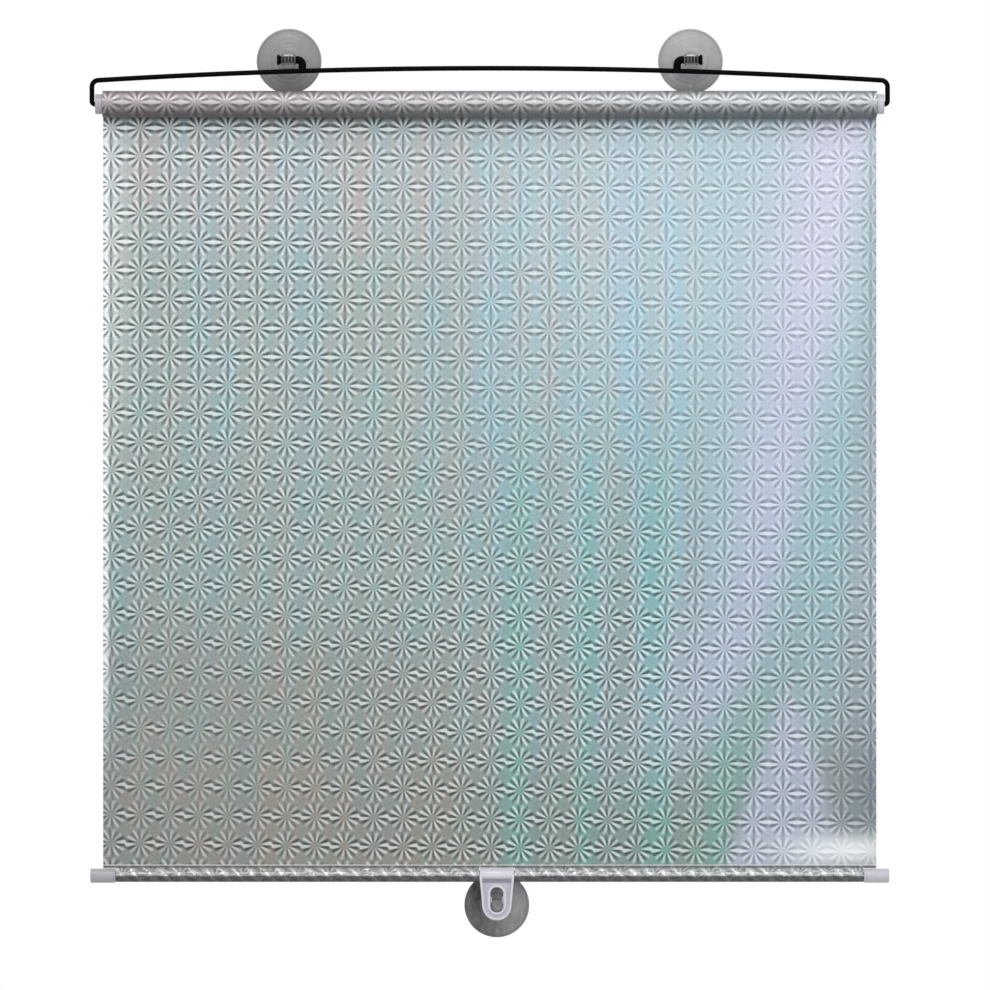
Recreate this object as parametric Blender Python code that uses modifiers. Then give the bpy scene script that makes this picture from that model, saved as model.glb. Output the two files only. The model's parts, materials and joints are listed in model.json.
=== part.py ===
"""Roller blind for a car window: a spring roller in a wire bail, held to the glass by suction cups.

The origin is on the window glass, midway between the two upper cups. X runs along the roller,
+Y points at the glass and Z is up. The blind is drawn down. Lengths are in metres.
"""

import math

import bmesh
import bpy
from mathutils import Matrix, Vector

BLIND = "suction_cup_roller_blind"
CUTTERS = "cutters"

# Clearances
SEAT_GAP = 0.0003
RUN_GAP = 0.0003
LEG_GAP = 0.0006
WELD = 0.000001

# Film
FILM_WIDTH = 0.500
FILM_THICKNESS = 0.00025
ROLL_TURNS = 4
ROLL_LAYER_GAP = 0.00007
ROLL_STEPS = 28
SHEET_WRAP = math.radians(40)
ROLLER_TO_BAR = 0.4986

# Roller tube and its end plugs
TUBE_RADIUS = 0.00685
TUBE_WALL = 0.0006
FLANGE_RADIUS = 0.0065
FLANGE_THICKNESS = 0.0044
FLANGE_EDGE = 0.0006
PLUG_LENGTH = 0.016
RATCHET_CAVITY_RADIUS = 0.00525
RATCHET_CAVITY_DEPTH = 0.009
PIN_REACH = 0.0065

# Ratchet
SHAFT_RADIUS = 0.0016
SHAFT_BOSS_RADIUS = 0.0026
RATCHET_RADIUS = 0.00265
RATCHET_ROOT = 0.00185
RATCHET_WIDTH = 0.0036
RATCHET_FACE = math.radians(140)
RATCHET_RAMP = math.radians(92)
RATCHET_REST = math.radians(25)
PAWL_ORBIT = 0.0039
PAWL_HALF_THICKNESS = 0.00055
PAWL_BOSS_RADIUS = 0.00095
PAWL_PIVOT_ANGLE = math.radians(40)
PAWL_TIP_ANGLE = math.radians(118)
PAWL_WIDTH = 0.003
PAWL_PIN_RADIUS = 0.0005
PAWL_PIN_HEAD_RADIUS = 0.0009
PAWL_PIN_HEAD = 0.0005
PAWL_PIN_SEAT = 0.003
TONGUE_THICKNESS = 0.0014
TONGUE_HEIGHT = 0.0026
TONGUE_LENGTH = 0.004
SQUARE_SIDE = 0.0024
SQUARE_LENGTH = 0.010

# Spring
SPRING_RADIUS = 0.0046
SPRING_WIRE = 0.00045
SPRING_TURNS = 12
SPRING_PITCH = 0.0065
SPRING_STEPS = 10
SPRING_TAIL = 0.004
SPRING_BEND = 0.0009
ANCHOR_LENGTH = 0.0065
MANDREL_RADIUS = 0.0032
MANDREL_TIP = 0.006

# Wire bail
WIRE_RADIUS = 0.0016
BOW_DROP = 0.0054
BOW_SAG = 0.008
BOW_POINTS = 33
BAIL_CORNER = 0.0042
BAIL_FOOT = 0.002
ROLLER_DROP = 0.0286

# Pegs on the bail, which the upper cups hang on
CUP_SPACING = 0.260
PEG_RADIUS = 0.0025
PEG_LEG = 0.0090
PEG_ARM = 0.0054
PEG_BEND = 0.0032
PEG_FLANGE_RADIUS = 0.0033
PEG_FLANGE = 0.002

# Suction cups
CUP_RADIUS = 0.021
CUP_SEAL = 0.002
CUP_LIP = 0.0009
CUP_DEPTH = 0.0055
CUP_CROWN = 0.0024
CUP_FLARE = 1.5
CUP_STEPS = 32
CUP_RING_POINTS = 3
CUP_SKIN_POINTS = 4
CUP_HOLLOW_POINTS = 6
CUP_RING_RADIUS = 0.0118
CUP_RING_HEIGHT = 0.0005
CUP_FILLET = 0.0012
PEG_HEIGHT = 0.019
KNOB_RADIUS = 0.0054
KNOB_NECK = 0.0042
KNOB_GROOVES = 4
KNOB_GROOVE = 0.0005
KNOB_GROOVE_PITCH = 0.0021
GATE_RADIUS = 0.0006
GATE_HEIGHT = 0.0004
GATE_PLACE = 0.0163
COLLAR_RADIUS = 0.0042
BUTTON_RADIUS = 0.004
BUTTON_NECK = 0.0028
BUTTON_HEIGHT = 0.002
BUTTON_EDGE = 0.0008

# Bottom bar and its end caps
BAR_RADIUS = 0.0035
BAR_WALL = 0.0008
BAR_OVERHANG = 0.006
CAP_WALL = 0.0008
CAP_END = 0.0019
CAP_OVERLAP = 0.008
CAP_EDGE = 0.0007
CAP_RIM = 0.0012
CAP_GROOVE = 0.0002

# Hem of the film, folded round the bar
HEM_PLY_GAP = 0.00005
HEM_POINT = 0.0056
HEM_SEAM = 0.0067

# Pull clip
CLIP_OFFSET = 0.0046
CLIP_WALL = 0.001
CLIP_HALF_WIDTH = 0.0112
CLIP_TIP_RADIUS = 0.0094
CLIP_DROP = 0.0193
CLIP_WEB = 0.0009
CLIP_COUNTERBORE = 0.0009
CLIP_RIM = 0.0007
CLIP_CREASE = 0.0005
CLIP_TOP = 0.0012
CLIP_BARREL_INSET = 0.0002
CLIP_BORDER = 0.0014
CLIP_SLOT_BORDER = 0.0016
CLIP_SLOT_TRAVEL = 0.0078
CLIP_SIDE_GAP = 0.0015
CLIP_MOUTH = math.radians(80)
CLIP_MOUTH_TURN = math.radians(-35)

# Round surfaces
FINE_STEPS = 32
SMALL_STEPS = 20
PAWL_STEPS = 12
KNOB_STEPS = 8
CURVE_STEPS = 8
BEND_STEPS = 5
EDGE_STEPS = 3
SHARP_ANGLE = math.radians(35)

# Places worked out from the sizes above
ALONG_X = (math.pi / 2, 0, math.pi / 2)
AWAY_FROM_GLASS = (math.pi / 2, 0, 0)
END = FILM_WIDTH / 2
FLANGE_INNER = END + SEAT_GAP
FLANGE_OUTER = FLANGE_INNER + FLANGE_THICKNESS
PLUG_RADIUS = TUBE_RADIUS - TUBE_WALL - SEAT_GAP
PLUG_END = END - PLUG_LENGTH
LEG_X = FLANGE_OUTER + LEG_GAP + WIRE_RADIUS
PIN_END = FLANGE_OUTER - PIN_REACH
CAVITY_WALL = PLUG_END + RATCHET_CAVITY_DEPTH
RATCHET_X = CAVITY_WALL - RUN_GAP - RATCHET_WIDTH / 2
MANDREL_END = PLUG_END + SEAT_GAP
ANCHOR_OUTER = PLUG_END - SEAT_GAP
ANCHOR_INNER = ANCHOR_OUTER - ANCHOR_LENGTH
SPRING_START = ANCHOR_INNER - SEAT_GAP - SPRING_WIRE
SPRING_END = SPRING_START - SPRING_TURNS * SPRING_PITCH
MANDREL_START = SPRING_END - MANDREL_TIP
ROLL_PITCH = FILM_THICKNESS + ROLL_LAYER_GAP
ROLL_RADIUS = TUBE_RADIUS + SEAT_GAP + FILM_THICKNESS / 2 + ROLL_TURNS * ROLL_PITCH
SHEET_RADIUS = ROLL_RADIUS + FILM_THICKNESS + RUN_GAP
SLEEVE_RADIUS = BAR_RADIUS + SEAT_GAP + FILM_THICKNESS / 2
CAP_RADIUS = BAR_RADIUS + SEAT_GAP + CAP_WALL
BAR_END = END + BAR_OVERHANG
CAP_INNER = END - CAP_OVERLAP
CAP_OUTER = BAR_END + SEAT_GAP + CAP_END
BAR_TO_GLASS = PEG_HEIGHT - SHEET_RADIUS
CLIP_BORE = BAR_RADIUS + SEAT_GAP
CLIP_BARREL = CLIP_BORE + CLIP_WALL
CLIP_FRONT = CLIP_BARREL - CLIP_CREASE
CLIP_WEB_FRONT = CLIP_FRONT - CLIP_COUNTERBORE
CLIP_BACK = CLIP_WEB_FRONT - CLIP_WEB
SLOT_RADIUS = BUTTON_RADIUS + RUN_GAP
NECK_SLOT_RADIUS = BUTTON_NECK + RUN_GAP


def clear_scene():
    for obj in list(bpy.data.objects):
        bpy.data.objects.remove(obj)


def new_collection(name, hide_render=False):
    collection = bpy.data.collections.new(name)
    collection.hide_render = hide_render
    bpy.context.scene.collection.children.link(collection)
    return collection


def add_object(name, data, parent=None, location=(0, 0, 0), rotation=(0, 0, 0)):
    obj = bpy.data.objects.new(name, data)
    bpy.data.collections[BLIND].objects.link(obj)
    obj.parent = parent
    obj.location = location
    obj.rotation_euler = rotation
    return obj


def material(name, colour, roughness, metallic=0.0):
    made = bpy.data.materials.new(name)
    made.use_nodes = True
    shader = made.node_tree.nodes["Principled BSDF"]
    shader.inputs["Base Color"].default_value = (*colour, 1)
    shader.inputs["Roughness"].default_value = roughness
    shader.inputs["Metallic"].default_value = metallic
    return made


def mesh_from(shape, name):
    mesh = bpy.data.meshes.new(name)
    shape.to_mesh(mesh)
    shape.free()
    return mesh


def turned(name, profile, steps):
    """A mesh object turned about its Z axis from (radius, height) points, down the outer side.

    A profile that starts off the axis closes on itself, as for a tube or a ring.
    """
    edges = [(i, i + 1) for i in range(len(profile) - 1)]
    if profile[0][0] > 0:
        edges.append((len(profile) - 1, 0))
    mesh = bpy.data.meshes.new(name)
    mesh.from_pydata([(radius, 0, height) for radius, height in profile], edges, [])
    obj = add_object(name, mesh)
    screw = obj.modifiers.new("Turn", "SCREW")
    screw.steps = screw.render_steps = steps
    screw.use_merge_vertices = True
    screw.merge_threshold = WELD
    return obj


def cylinder(name, radius, low, high, steps=FINE_STEPS):
    """A cylinder on its Z axis between two heights."""
    shape = bmesh.new()
    bmesh.ops.create_cone(
        shape, cap_ends=True, segments=steps, radius1=radius, radius2=radius, depth=high - low
    )
    bmesh.ops.translate(shape, verts=shape.verts, vec=(0, 0, (low + high) / 2))
    return add_object(name, mesh_from(shape, name))


def block(name, low, high):
    """A box between two opposite corners."""
    low, high = Vector(low), Vector(high)
    shape = bmesh.new()
    bmesh.ops.create_cube(shape, size=1)
    bmesh.ops.scale(shape, verts=shape.verts, vec=high - low)
    bmesh.ops.translate(shape, verts=shape.verts, vec=(low + high) / 2)
    return add_object(name, mesh_from(shape, name))


def wire(name, points, radius, resolution=2):
    """A round wire along a path, with closed ends."""
    curve = bpy.data.curves.new(name, "CURVE")
    curve.dimensions = "3D"
    curve.bevel_depth = radius
    curve.bevel_resolution = resolution
    curve.use_fill_caps = True
    spline = curve.splines.new("POLY")
    spline.points.add(len(points) - 1)
    for point, place in zip(spline.points, points):
        point.co = (*place, 1)
    return baked(add_object(name, curve))


def plate(name, outlines, low, high):
    """A flat plate in its XY plane between two heights. Outlines after the first are holes."""
    curve = bpy.data.curves.new(name, "CURVE")
    curve.dimensions = "2D"
    curve.fill_mode = "BOTH"
    curve.extrude = (high - low) / 2
    for outline in outlines:
        spline = curve.splines.new("POLY")
        spline.points.add(len(outline) - 1)
        spline.use_cyclic_u = True
        for point, (x, y) in zip(spline.points, outline):
            point.co = (x, y, 0, 1)
    obj = baked(add_object(name, curve))
    obj.data.transform(Matrix.Translation((0, 0, (low + high) / 2)))
    return obj


def film(name, path):
    """Film as wide as the blind that follows a path of (y, z) points."""
    shape = bmesh.new()
    rows = [[shape.verts.new((x, y, z)) for y, z in path] for x in (-END, END)]
    for i in range(len(path) - 1):
        shape.faces.new((rows[0][i], rows[1][i], rows[1][i + 1], rows[0][i + 1]))
    obj = add_object(name, mesh_from(shape, name))
    shell = obj.modifiers.new("Thickness", "SOLIDIFY")
    shell.thickness = FILM_THICKNESS
    shell.offset = 0
    shell.use_even_offset = True
    return obj


def baked(obj):
    """The object as a plain mesh, with its modifiers applied and its seams welded."""
    bpy.context.view_layer.update()
    graph = bpy.context.evaluated_depsgraph_get()
    shape = bmesh.new()
    mesh = bpy.data.meshes.new_from_object(obj.evaluated_get(graph))
    shape.from_mesh(mesh)
    bmesh.ops.remove_doubles(shape, verts=shape.verts, dist=WELD)
    shape.to_mesh(mesh)
    shape.free()
    name, parent, place = obj.name, obj.parent, obj.matrix_basis.copy()
    bpy.data.objects.remove(obj)
    mesh.name = name
    result = add_object(name, mesh, parent)
    result.matrix_basis = place
    return result


def combine(obj, tool, operation):
    """Joins the tool to the object, or cuts the object by it, and puts the tool away."""
    bpy.data.collections[CUTTERS].objects.link(tool)
    bpy.data.collections[BLIND].objects.unlink(tool)
    tool.hide_render = True
    tool.display_type = "WIRE"
    boolean = obj.modifiers.new(tool.name, "BOOLEAN")
    boolean.operation = operation
    boolean.object = tool


def cut(obj, *tools):
    for tool in tools:
        combine(obj, tool, "DIFFERENCE")


def join(obj, *tools):
    for tool in tools:
        combine(obj, tool, "UNION")


def along_x(*objects):
    """Lays pieces made about their Z axis along the roller."""
    for obj in objects:
        obj.rotation_euler = ALONG_X


def finish(obj, parent, made_of):
    """Sets a piece on the empty that carries it, with its material and smooth shading."""
    obj = baked(obj)
    obj.parent = parent
    obj.data.materials.clear()
    obj.data.materials.append(made_of)
    obj.data.shade_smooth()
    obj.data.set_sharp_from_angle(angle=SHARP_ANGLE)
    return obj


def polar(radius, angle):
    return (radius * math.cos(angle), radius * math.sin(angle))


def arc(radius, start, end, steps, centre=(0, 0)):
    """Points on a circle from one angle to another, both ends included."""
    points = []
    for i in range(steps + 1):
        x, y = polar(radius, start + (end - start) * i / steps)
        points.append((centre[0] + x, centre[1] + y))
    return points


def rounded_path(corners, steps=BEND_STEPS):
    """A path through (point, bend radius) corners, each bend drawn as an arc."""
    points = []
    for place, (corner, radius) in enumerate(corners):
        corner = Vector(corner)
        if not radius:
            points.append(corner)
            continue
        back = (Vector(corners[place - 1][0]) - corner).normalized()
        ahead = (Vector(corners[place + 1][0]) - corner).normalized()
        half = back.angle(ahead) / 2
        centre = corner + (back + ahead).normalized() * radius / math.sin(half)
        first = (corner + back * radius / math.tan(half) - centre).normalized()
        last = (corner + ahead * radius / math.tan(half) - centre).normalized()
        points += [centre + radius * first.slerp(last, i / steps) for i in range(steps + 1)]
    return points


def bow_height(x):
    """Height of the wire bow over the peg axis: a shallow arch."""
    return -BOW_DROP - BOW_SAG * (x / LEG_X) ** 2


def bail_frame():
    """The bow, its two legs and the pins that turn in at their feet."""
    bow = [LEG_X * (2 * i / (BOW_POINTS - 1) - 1) for i in range(BOW_POINTS)]
    corners = [((-PIN_END, 0, -ROLLER_DROP), 0), ((-LEG_X, 0, -ROLLER_DROP), BAIL_FOOT)]
    for x in bow:
        corners.append(((x, 0, bow_height(x)), BAIL_CORNER if abs(x) == LEG_X else 0))
    corners += [((LEG_X, 0, -ROLLER_DROP), BAIL_FOOT), ((PIN_END, 0, -ROLLER_DROP), 0)]
    return wire("wire_bail", rounded_path(corners), WIRE_RADIUS, 3)


def peg(side):
    """A hook that stands on the bow, goes out through a cup's knob and ends in a flange."""
    root = side * (CUP_SPACING / 2 - PEG_LEG)
    end = CUP_SPACING / 2 + PEG_ARM
    tip = side * (end + PEG_FLANGE / 2)
    foot = bow_height(root) - WIRE_RADIUS / 2
    corners = [((root, 0, foot), 0), ((root, 0, 0), PEG_BEND), ((tip, 0, 0), 0)]
    hook = wire(f"peg_{side}", rounded_path(corners), PEG_RADIUS, 3)
    flange = cylinder(f"peg_flange_{side}", PEG_FLANGE_RADIUS, end, end + PEG_FLANGE, SMALL_STEPS)
    flange.rotation_euler = (0, side * math.pi / 2, 0)
    join(hook, flange)
    return baked(hook)


def wire_bail():
    bail = bail_frame()
    tongue = block(
        "tongue",
        (PIN_END - TONGUE_LENGTH, -TONGUE_THICKNESS / 2, -ROLLER_DROP - TONGUE_HEIGHT / 2),
        (PIN_END + SEAT_GAP, TONGUE_THICKNESS / 2, -ROLLER_DROP + TONGUE_HEIGHT / 2),
    )
    join(bail, peg(-1), peg(1), tongue)
    return bail


def spread(start, end, count):
    """Evenly spaced values from start to end, both included."""
    return [start + (end - start) * i / (count - 1) for i in range(count)]


def cup_hollow(radius):
    """Height over the glass of the cup's hollow at a radius."""
    share = min(1, radius / (CUP_RADIUS - CUP_SEAL))
    return CUP_DEPTH * (1 - share**CUP_FLARE)


def cup_skin(radius):
    """Height over the glass of the cup's outer skin, whose wall thins towards the lip."""
    wall = CUP_LIP + (CUP_CROWN - CUP_LIP) * (1 - (radius / CUP_RADIUS) ** 2)
    return cup_hollow(radius) + wall


def cup_profile(stem, stem_radius):
    """Half section of a cup under its stem, from the stem's top round to the hollow's middle."""
    seal = CUP_RADIUS - CUP_SEAL
    foot = cup_skin(stem_radius) + CUP_RING_HEIGHT
    outside = [(stem_radius, foot + CUP_FILLET)]
    for radius in spread(stem_radius + CUP_FILLET, CUP_RING_RADIUS - CUP_RING_HEIGHT, CUP_RING_POINTS):
        outside.append((radius, cup_skin(radius) + CUP_RING_HEIGHT))
    for radius in spread(CUP_RING_RADIUS, seal, CUP_SKIN_POINTS):
        outside.append((radius, cup_skin(radius)))
    half_lip = CUP_LIP / 2
    outside += [(CUP_RADIUS - half_lip, CUP_LIP), (CUP_RADIUS, half_lip), (CUP_RADIUS, 0)]
    hollow = [(radius, cup_hollow(radius)) for radius in spread(seal, 0, CUP_HOLLOW_POINTS)]
    return stem + outside + hollow


def gate_mark(place):
    """The stub that the mould's gate leaves on a cup's skin."""
    low = (cup_hollow(GATE_PLACE) + cup_skin(GATE_PLACE)) / 2
    mark = cylinder("gate_mark", GATE_RADIUS, low, cup_skin(GATE_PLACE) + GATE_HEIGHT, PAWL_STEPS)
    mark.location = (0, place, 0)
    return mark


def knob_groove(place):
    """Tool for a groove down the front of a knob."""
    floor = PEG_HEIGHT + math.sqrt(KNOB_RADIUS**2 - place**2) - KNOB_GROOVE
    low = (place - KNOB_GROOVE / 2, -KNOB_RADIUS, floor)
    high = (place + KNOB_GROOVE / 2, KNOB_RADIUS, PEG_HEIGHT + 2 * KNOB_RADIUS)
    return block("knob_groove", low, high)


def hung_cup(name, gate):
    """A cup whose round knob is grooved in front and has a cross hole for a peg."""
    knob = arc(KNOB_RADIUS, math.pi / 2, -math.pi / 4, KNOB_STEPS, (0, PEG_HEIGHT))
    knob[0] = (0, PEG_HEIGHT + KNOB_RADIUS)
    cup = turned(name, cup_profile(knob, KNOB_NECK), CUP_STEPS)
    hole = cylinder(f"{name}_hole", PEG_RADIUS + RUN_GAP, -CUP_RADIUS, CUP_RADIUS, SMALL_STEPS)
    hole.rotation_euler = (0, math.pi / 2, 0)
    hole.location = (0, 0, PEG_HEIGHT)
    reach = KNOB_GROOVE_PITCH * (KNOB_GROOVES - 1) / 2
    cut(cup, hole, *[knob_groove(place) for place in spread(-reach, reach, KNOB_GROOVES)])
    join(cup, gate_mark(gate))
    cup = baked(cup)
    cup.rotation_euler = AWAY_FROM_GLASS
    return cup


def sliding_cup():
    """A cup whose collar and button hold the web of the clip's slot between them."""
    collar = BAR_TO_GLASS + CLIP_BACK - SEAT_GAP
    under = BAR_TO_GLASS + CLIP_WEB_FRONT + SEAT_GAP
    top = under + BUTTON_HEIGHT
    button = [(0, top), (BUTTON_RADIUS - BUTTON_EDGE, top), (BUTTON_RADIUS, top - BUTTON_EDGE)]
    button += [(BUTTON_RADIUS, under), (BUTTON_NECK, under), (BUTTON_NECK, collar)]
    button.append((COLLAR_RADIUS, collar))
    cup = turned("bottom_cup", cup_profile(button, COLLAR_RADIUS), CUP_STEPS)
    join(cup, gate_mark(-GATE_PLACE))
    cup = baked(cup)
    cup.rotation_euler = AWAY_FROM_GLASS
    return cup


def film_roll():
    """The turns of film left on the tube, one spiral that grows to where the sheet leaves it."""
    count = ROLL_TURNS * ROLL_STEPS
    path = []
    for i in range(count + 1):
        angle = SHEET_WRAP + 2 * math.pi * i / ROLL_STEPS
        path.append(polar(ROLL_RADIUS - ROLL_PITCH * i / ROLL_STEPS, angle))
    return film("film_roll", path)


def film_sheet():
    """The drawn film: it leaves the back of the roll and hangs straight to the hem."""
    path = arc(SHEET_RADIUS, SHEET_WRAP, 0, CURVE_STEPS)
    path.append((SHEET_RADIUS, HEM_SEAM + SEAT_GAP - ROLLER_TO_BAR))
    return film("film_sheet", path)


def film_hem():
    """The film's lower end: folded round the bar and welded to itself above it."""
    ply = (FILM_THICKNESS + HEM_PLY_GAP) / 2
    leave = math.acos(SLEEVE_RADIUS / HEM_POINT)
    top = math.pi / 2
    loop = arc(SLEEVE_RADIUS, top + leave, top + 2 * math.pi - leave, SMALL_STEPS)
    path = [(-ply, HEM_SEAM), (-ply, HEM_POINT), *loop, (ply, HEM_POINT), (ply, HEM_SEAM)]
    hem = film("film_hem", path)
    deep = 2 * HEM_SEAM
    over_cap = CAP_RADIUS + SEAT_GAP
    over_clip = CLIP_BARREL + SEAT_GAP
    notch = CLIP_HALF_WIDTH + CLIP_SIDE_GAP
    for side in (-1, 1):
        inner, outer = side * (CAP_INNER - SEAT_GAP), side * (END + SEAT_GAP)
        low, high = min(inner, outer), max(inner, outer)
        cut(hem, block(f"hem_end_{side}", (low, -deep, -deep), (high, deep, over_cap)))
    left, right = CLIP_OFFSET - notch, CLIP_OFFSET + notch
    cut(hem, block("hem_notch", (left, -deep, -deep), (right, deep, over_clip)))
    return hem


def roller_tube():
    inside = TUBE_RADIUS - TUBE_WALL
    profile = [(TUBE_RADIUS, END), (TUBE_RADIUS, -END), (inside, -END), (inside, END)]
    tube = turned("roller_tube", profile, FINE_STEPS)
    along_x(tube)
    return tube


def flange_profile():
    """Outer half section of an end plug, from the flange's face to the body's inner end."""
    return [
        (FLANGE_RADIUS - FLANGE_EDGE, FLANGE_OUTER),
        (FLANGE_RADIUS, FLANGE_OUTER - FLANGE_EDGE),
        (FLANGE_RADIUS, FLANGE_INNER),
        (PLUG_RADIUS, FLANGE_INNER),
        (PLUG_RADIUS, PLUG_END),
    ]


def idle_plug():
    """Left plug: a plain bearing that turns on the bail's left pin."""
    bore = WIRE_RADIUS + RUN_GAP
    bottom = PIN_END - RUN_GAP
    profile = [(0, bottom), (bore, bottom), (bore, FLANGE_OUTER), *flange_profile(), (0, PLUG_END)]
    plug = turned("idle_plug", profile, FINE_STEPS)
    plug.rotation_euler = (math.pi / 2, 0, -math.pi / 2)
    return plug


def ratchet_plug():
    """Right plug: a cup for the pawls, with a stepped bore for the fixed shaft and the bail's pin."""
    bore = WIRE_RADIUS + RUN_GAP
    boss = SHAFT_BOSS_RADIUS + RUN_GAP
    step = PIN_END + 2 * SEAT_GAP
    profile = flange_profile() + [
        (RATCHET_CAVITY_RADIUS, PLUG_END),
        (RATCHET_CAVITY_RADIUS, CAVITY_WALL),
        (boss, CAVITY_WALL),
        (boss, step),
        (bore, step),
        (bore, FLANGE_OUTER),
    ]
    plug = turned("ratchet_plug", profile, FINE_STEPS)
    along_x(plug)
    for name, turn in (("upper", 0), ("lower", math.pi)):
        y, z = polar(PAWL_ORBIT, PAWL_PIVOT_ANGLE + turn)
        seat = cylinder(
            f"pin_seat_{name}", PAWL_PIN_RADIUS + SEAT_GAP,
            CAVITY_WALL - SEAT_GAP, CAVITY_WALL + PAWL_PIN_SEAT + SEAT_GAP, SMALL_STEPS,
        )
        seat.location = (0, y, z)
        along_x(seat)
        cut(plug, seat)
    return plug


def pawl(name, parent, made_of):
    """A curved pawl that hangs on its pin. The parent empty lies on the pin's axis."""
    inner, outer = PAWL_ORBIT - PAWL_HALF_THICKNESS, PAWL_ORBIT + PAWL_HALF_THICKNESS
    pivot = polar(PAWL_ORBIT, PAWL_PIVOT_ANGLE)

    def meets_boss(radius):
        """Angle at which the boss crosses a circle about the roller's axis."""
        chord = PAWL_ORBIT**2 + radius**2 - PAWL_BOSS_RADIUS**2
        return PAWL_PIVOT_ANGLE + math.acos(chord / (2 * PAWL_ORBIT * radius))

    def seen_from_pivot(radius):
        y, z = polar(radius, meets_boss(radius))
        return math.atan2(z - pivot[1], y - pivot[0])

    first, last = seen_from_pivot(outer), seen_from_pivot(inner)
    outline = arc(inner, meets_boss(inner), PAWL_TIP_ANGLE, CURVE_STEPS)
    outline += arc(outer, PAWL_TIP_ANGLE, meets_boss(outer), CURVE_STEPS)
    outline += arc(PAWL_BOSS_RADIUS, first, last - 2 * math.pi, PAWL_STEPS, pivot)[1:-1]
    hole = arc(PAWL_PIN_RADIUS + RUN_GAP, 0, 2 * math.pi, PAWL_STEPS, pivot)[:-1]
    obj = plate(name, [outline, hole], RATCHET_X - PAWL_WIDTH / 2, RATCHET_X + PAWL_WIDTH / 2)
    obj.data.transform(Matrix.Translation((-pivot[0], -pivot[1], 0)))
    along_x(obj)
    return finish(obj, parent, made_of)


def pawl_pin(name):
    """A headed pin, pressed into the plug, that a pawl hangs on."""
    head = RATCHET_X - PAWL_WIDTH / 2 - RUN_GAP
    profile = [
        (0, CAVITY_WALL + PAWL_PIN_SEAT),
        (PAWL_PIN_RADIUS, CAVITY_WALL + PAWL_PIN_SEAT),
        (PAWL_PIN_RADIUS, head),
        (PAWL_PIN_HEAD_RADIUS, head),
        (PAWL_PIN_HEAD_RADIUS, head - PAWL_PIN_HEAD),
        (0, head - PAWL_PIN_HEAD),
    ]
    pin = turned(name, profile, SMALL_STEPS)
    along_x(pin)
    return pin


def ratchet_outline():
    """Outline of the two-toothed wheel: each tooth ramps down to a face that stops a pawl."""
    points = []
    for tooth in (0, math.pi):
        face = RATCHET_FACE - math.pi + tooth
        start = RATCHET_FACE - RATCHET_RAMP + tooth
        points += arc(RATCHET_RADIUS, face, start, CURVE_STEPS)
        for i in range(1, CURVE_STEPS + 1):
            share = i / CURVE_STEPS
            fall = (1 - math.cos(math.pi * share)) / 2
            radius = RATCHET_RADIUS - (RATCHET_RADIUS - RATCHET_ROOT) * fall
            points.append(polar(radius, start + (RATCHET_RAMP - RATCHET_REST) * share))
        points.append(polar(RATCHET_ROOT, RATCHET_FACE + tooth))
    return points


def ratchet_shaft():
    """The fixed shaft: slotted for the bail's tongue, toothed for the pawls, squared for the mandrel."""
    slot = TONGUE_THICKNESS / 2 + SEAT_GAP
    boss_end = PIN_END - SEAT_GAP
    wheel_low = RATCHET_X - RATCHET_WIDTH / 2
    profile = [
        (0, boss_end), (SHAFT_BOSS_RADIUS, boss_end),
        (SHAFT_BOSS_RADIUS, CAVITY_WALL + RUN_GAP), (SHAFT_RADIUS, CAVITY_WALL + RUN_GAP),
        (SHAFT_RADIUS, MANDREL_END + SEAT_GAP), (0, MANDREL_END + SEAT_GAP),
    ]
    shaft = turned("ratchet_shaft", profile, SMALL_STEPS)
    along_x(shaft)
    wheel = plate("ratchet_wheel", [ratchet_outline()], wheel_low, wheel_low + RATCHET_WIDTH)
    along_x(wheel)
    half = SQUARE_SIDE / 2
    square = block(
        "shaft_square", (MANDREL_END - SQUARE_LENGTH, -half, -half),
        (MANDREL_END + 2 * SEAT_GAP, half, half),
    )
    tongue_slot = block(
        "tongue_slot", (PIN_END - TONGUE_LENGTH - SEAT_GAP, -slot, -FLANGE_RADIUS),
        (FLANGE_OUTER, slot, FLANGE_RADIUS),
    )
    join(shaft, wheel, square)
    cut(shaft, tongue_slot)
    return shaft


def spring_mandrel():
    """The fixed rod inside the spring, with a square socket and a cross hole for the spring's end."""
    profile = [
        (0, MANDREL_END), (MANDREL_RADIUS, MANDREL_END),
        (MANDREL_RADIUS, MANDREL_START + FLANGE_EDGE), (MANDREL_RADIUS - FLANGE_EDGE, MANDREL_START),
        (0, MANDREL_START),
    ]
    mandrel = turned("spring_mandrel", profile, SMALL_STEPS)
    along_x(mandrel)
    half = SQUARE_SIDE / 2 + SEAT_GAP
    socket = block(
        "mandrel_socket", (MANDREL_END - SQUARE_LENGTH - SEAT_GAP, -half, -half),
        (MANDREL_END + SEAT_GAP, half, half),
    )
    cross = cylinder("mandrel_cross_hole", SPRING_WIRE + SEAT_GAP, 0, 2 * MANDREL_RADIUS, SMALL_STEPS)
    cross.location = (SPRING_END, 0, 0)
    cross.rotation_euler = (-math.pi / 2, 0, 0)
    cut(mandrel, socket, cross)
    return mandrel


def torsion_spring():
    """The coil that winds the film up, hooked into the anchor at one end and the mandrel at the other."""
    corners = [
        ((ANCHOR_INNER + SPRING_TAIL, SPRING_RADIUS, 0), 0),
        ((SPRING_START, SPRING_RADIUS, 0), SPRING_BEND),
    ]
    count = SPRING_TURNS * SPRING_STEPS
    for i in range(1, count):
        y, z = polar(SPRING_RADIUS, 2 * math.pi * i / SPRING_STEPS)
        corners.append(((SPRING_START - SPRING_PITCH * i / SPRING_STEPS, y, z), 0))
    corners += [
        ((SPRING_END, SPRING_RADIUS, 0), SPRING_BEND),
        ((SPRING_END, MANDREL_RADIUS / 2, 0), 0),
    ]
    return wire("torsion_spring", rounded_path(corners, 3), SPRING_WIRE)


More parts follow.
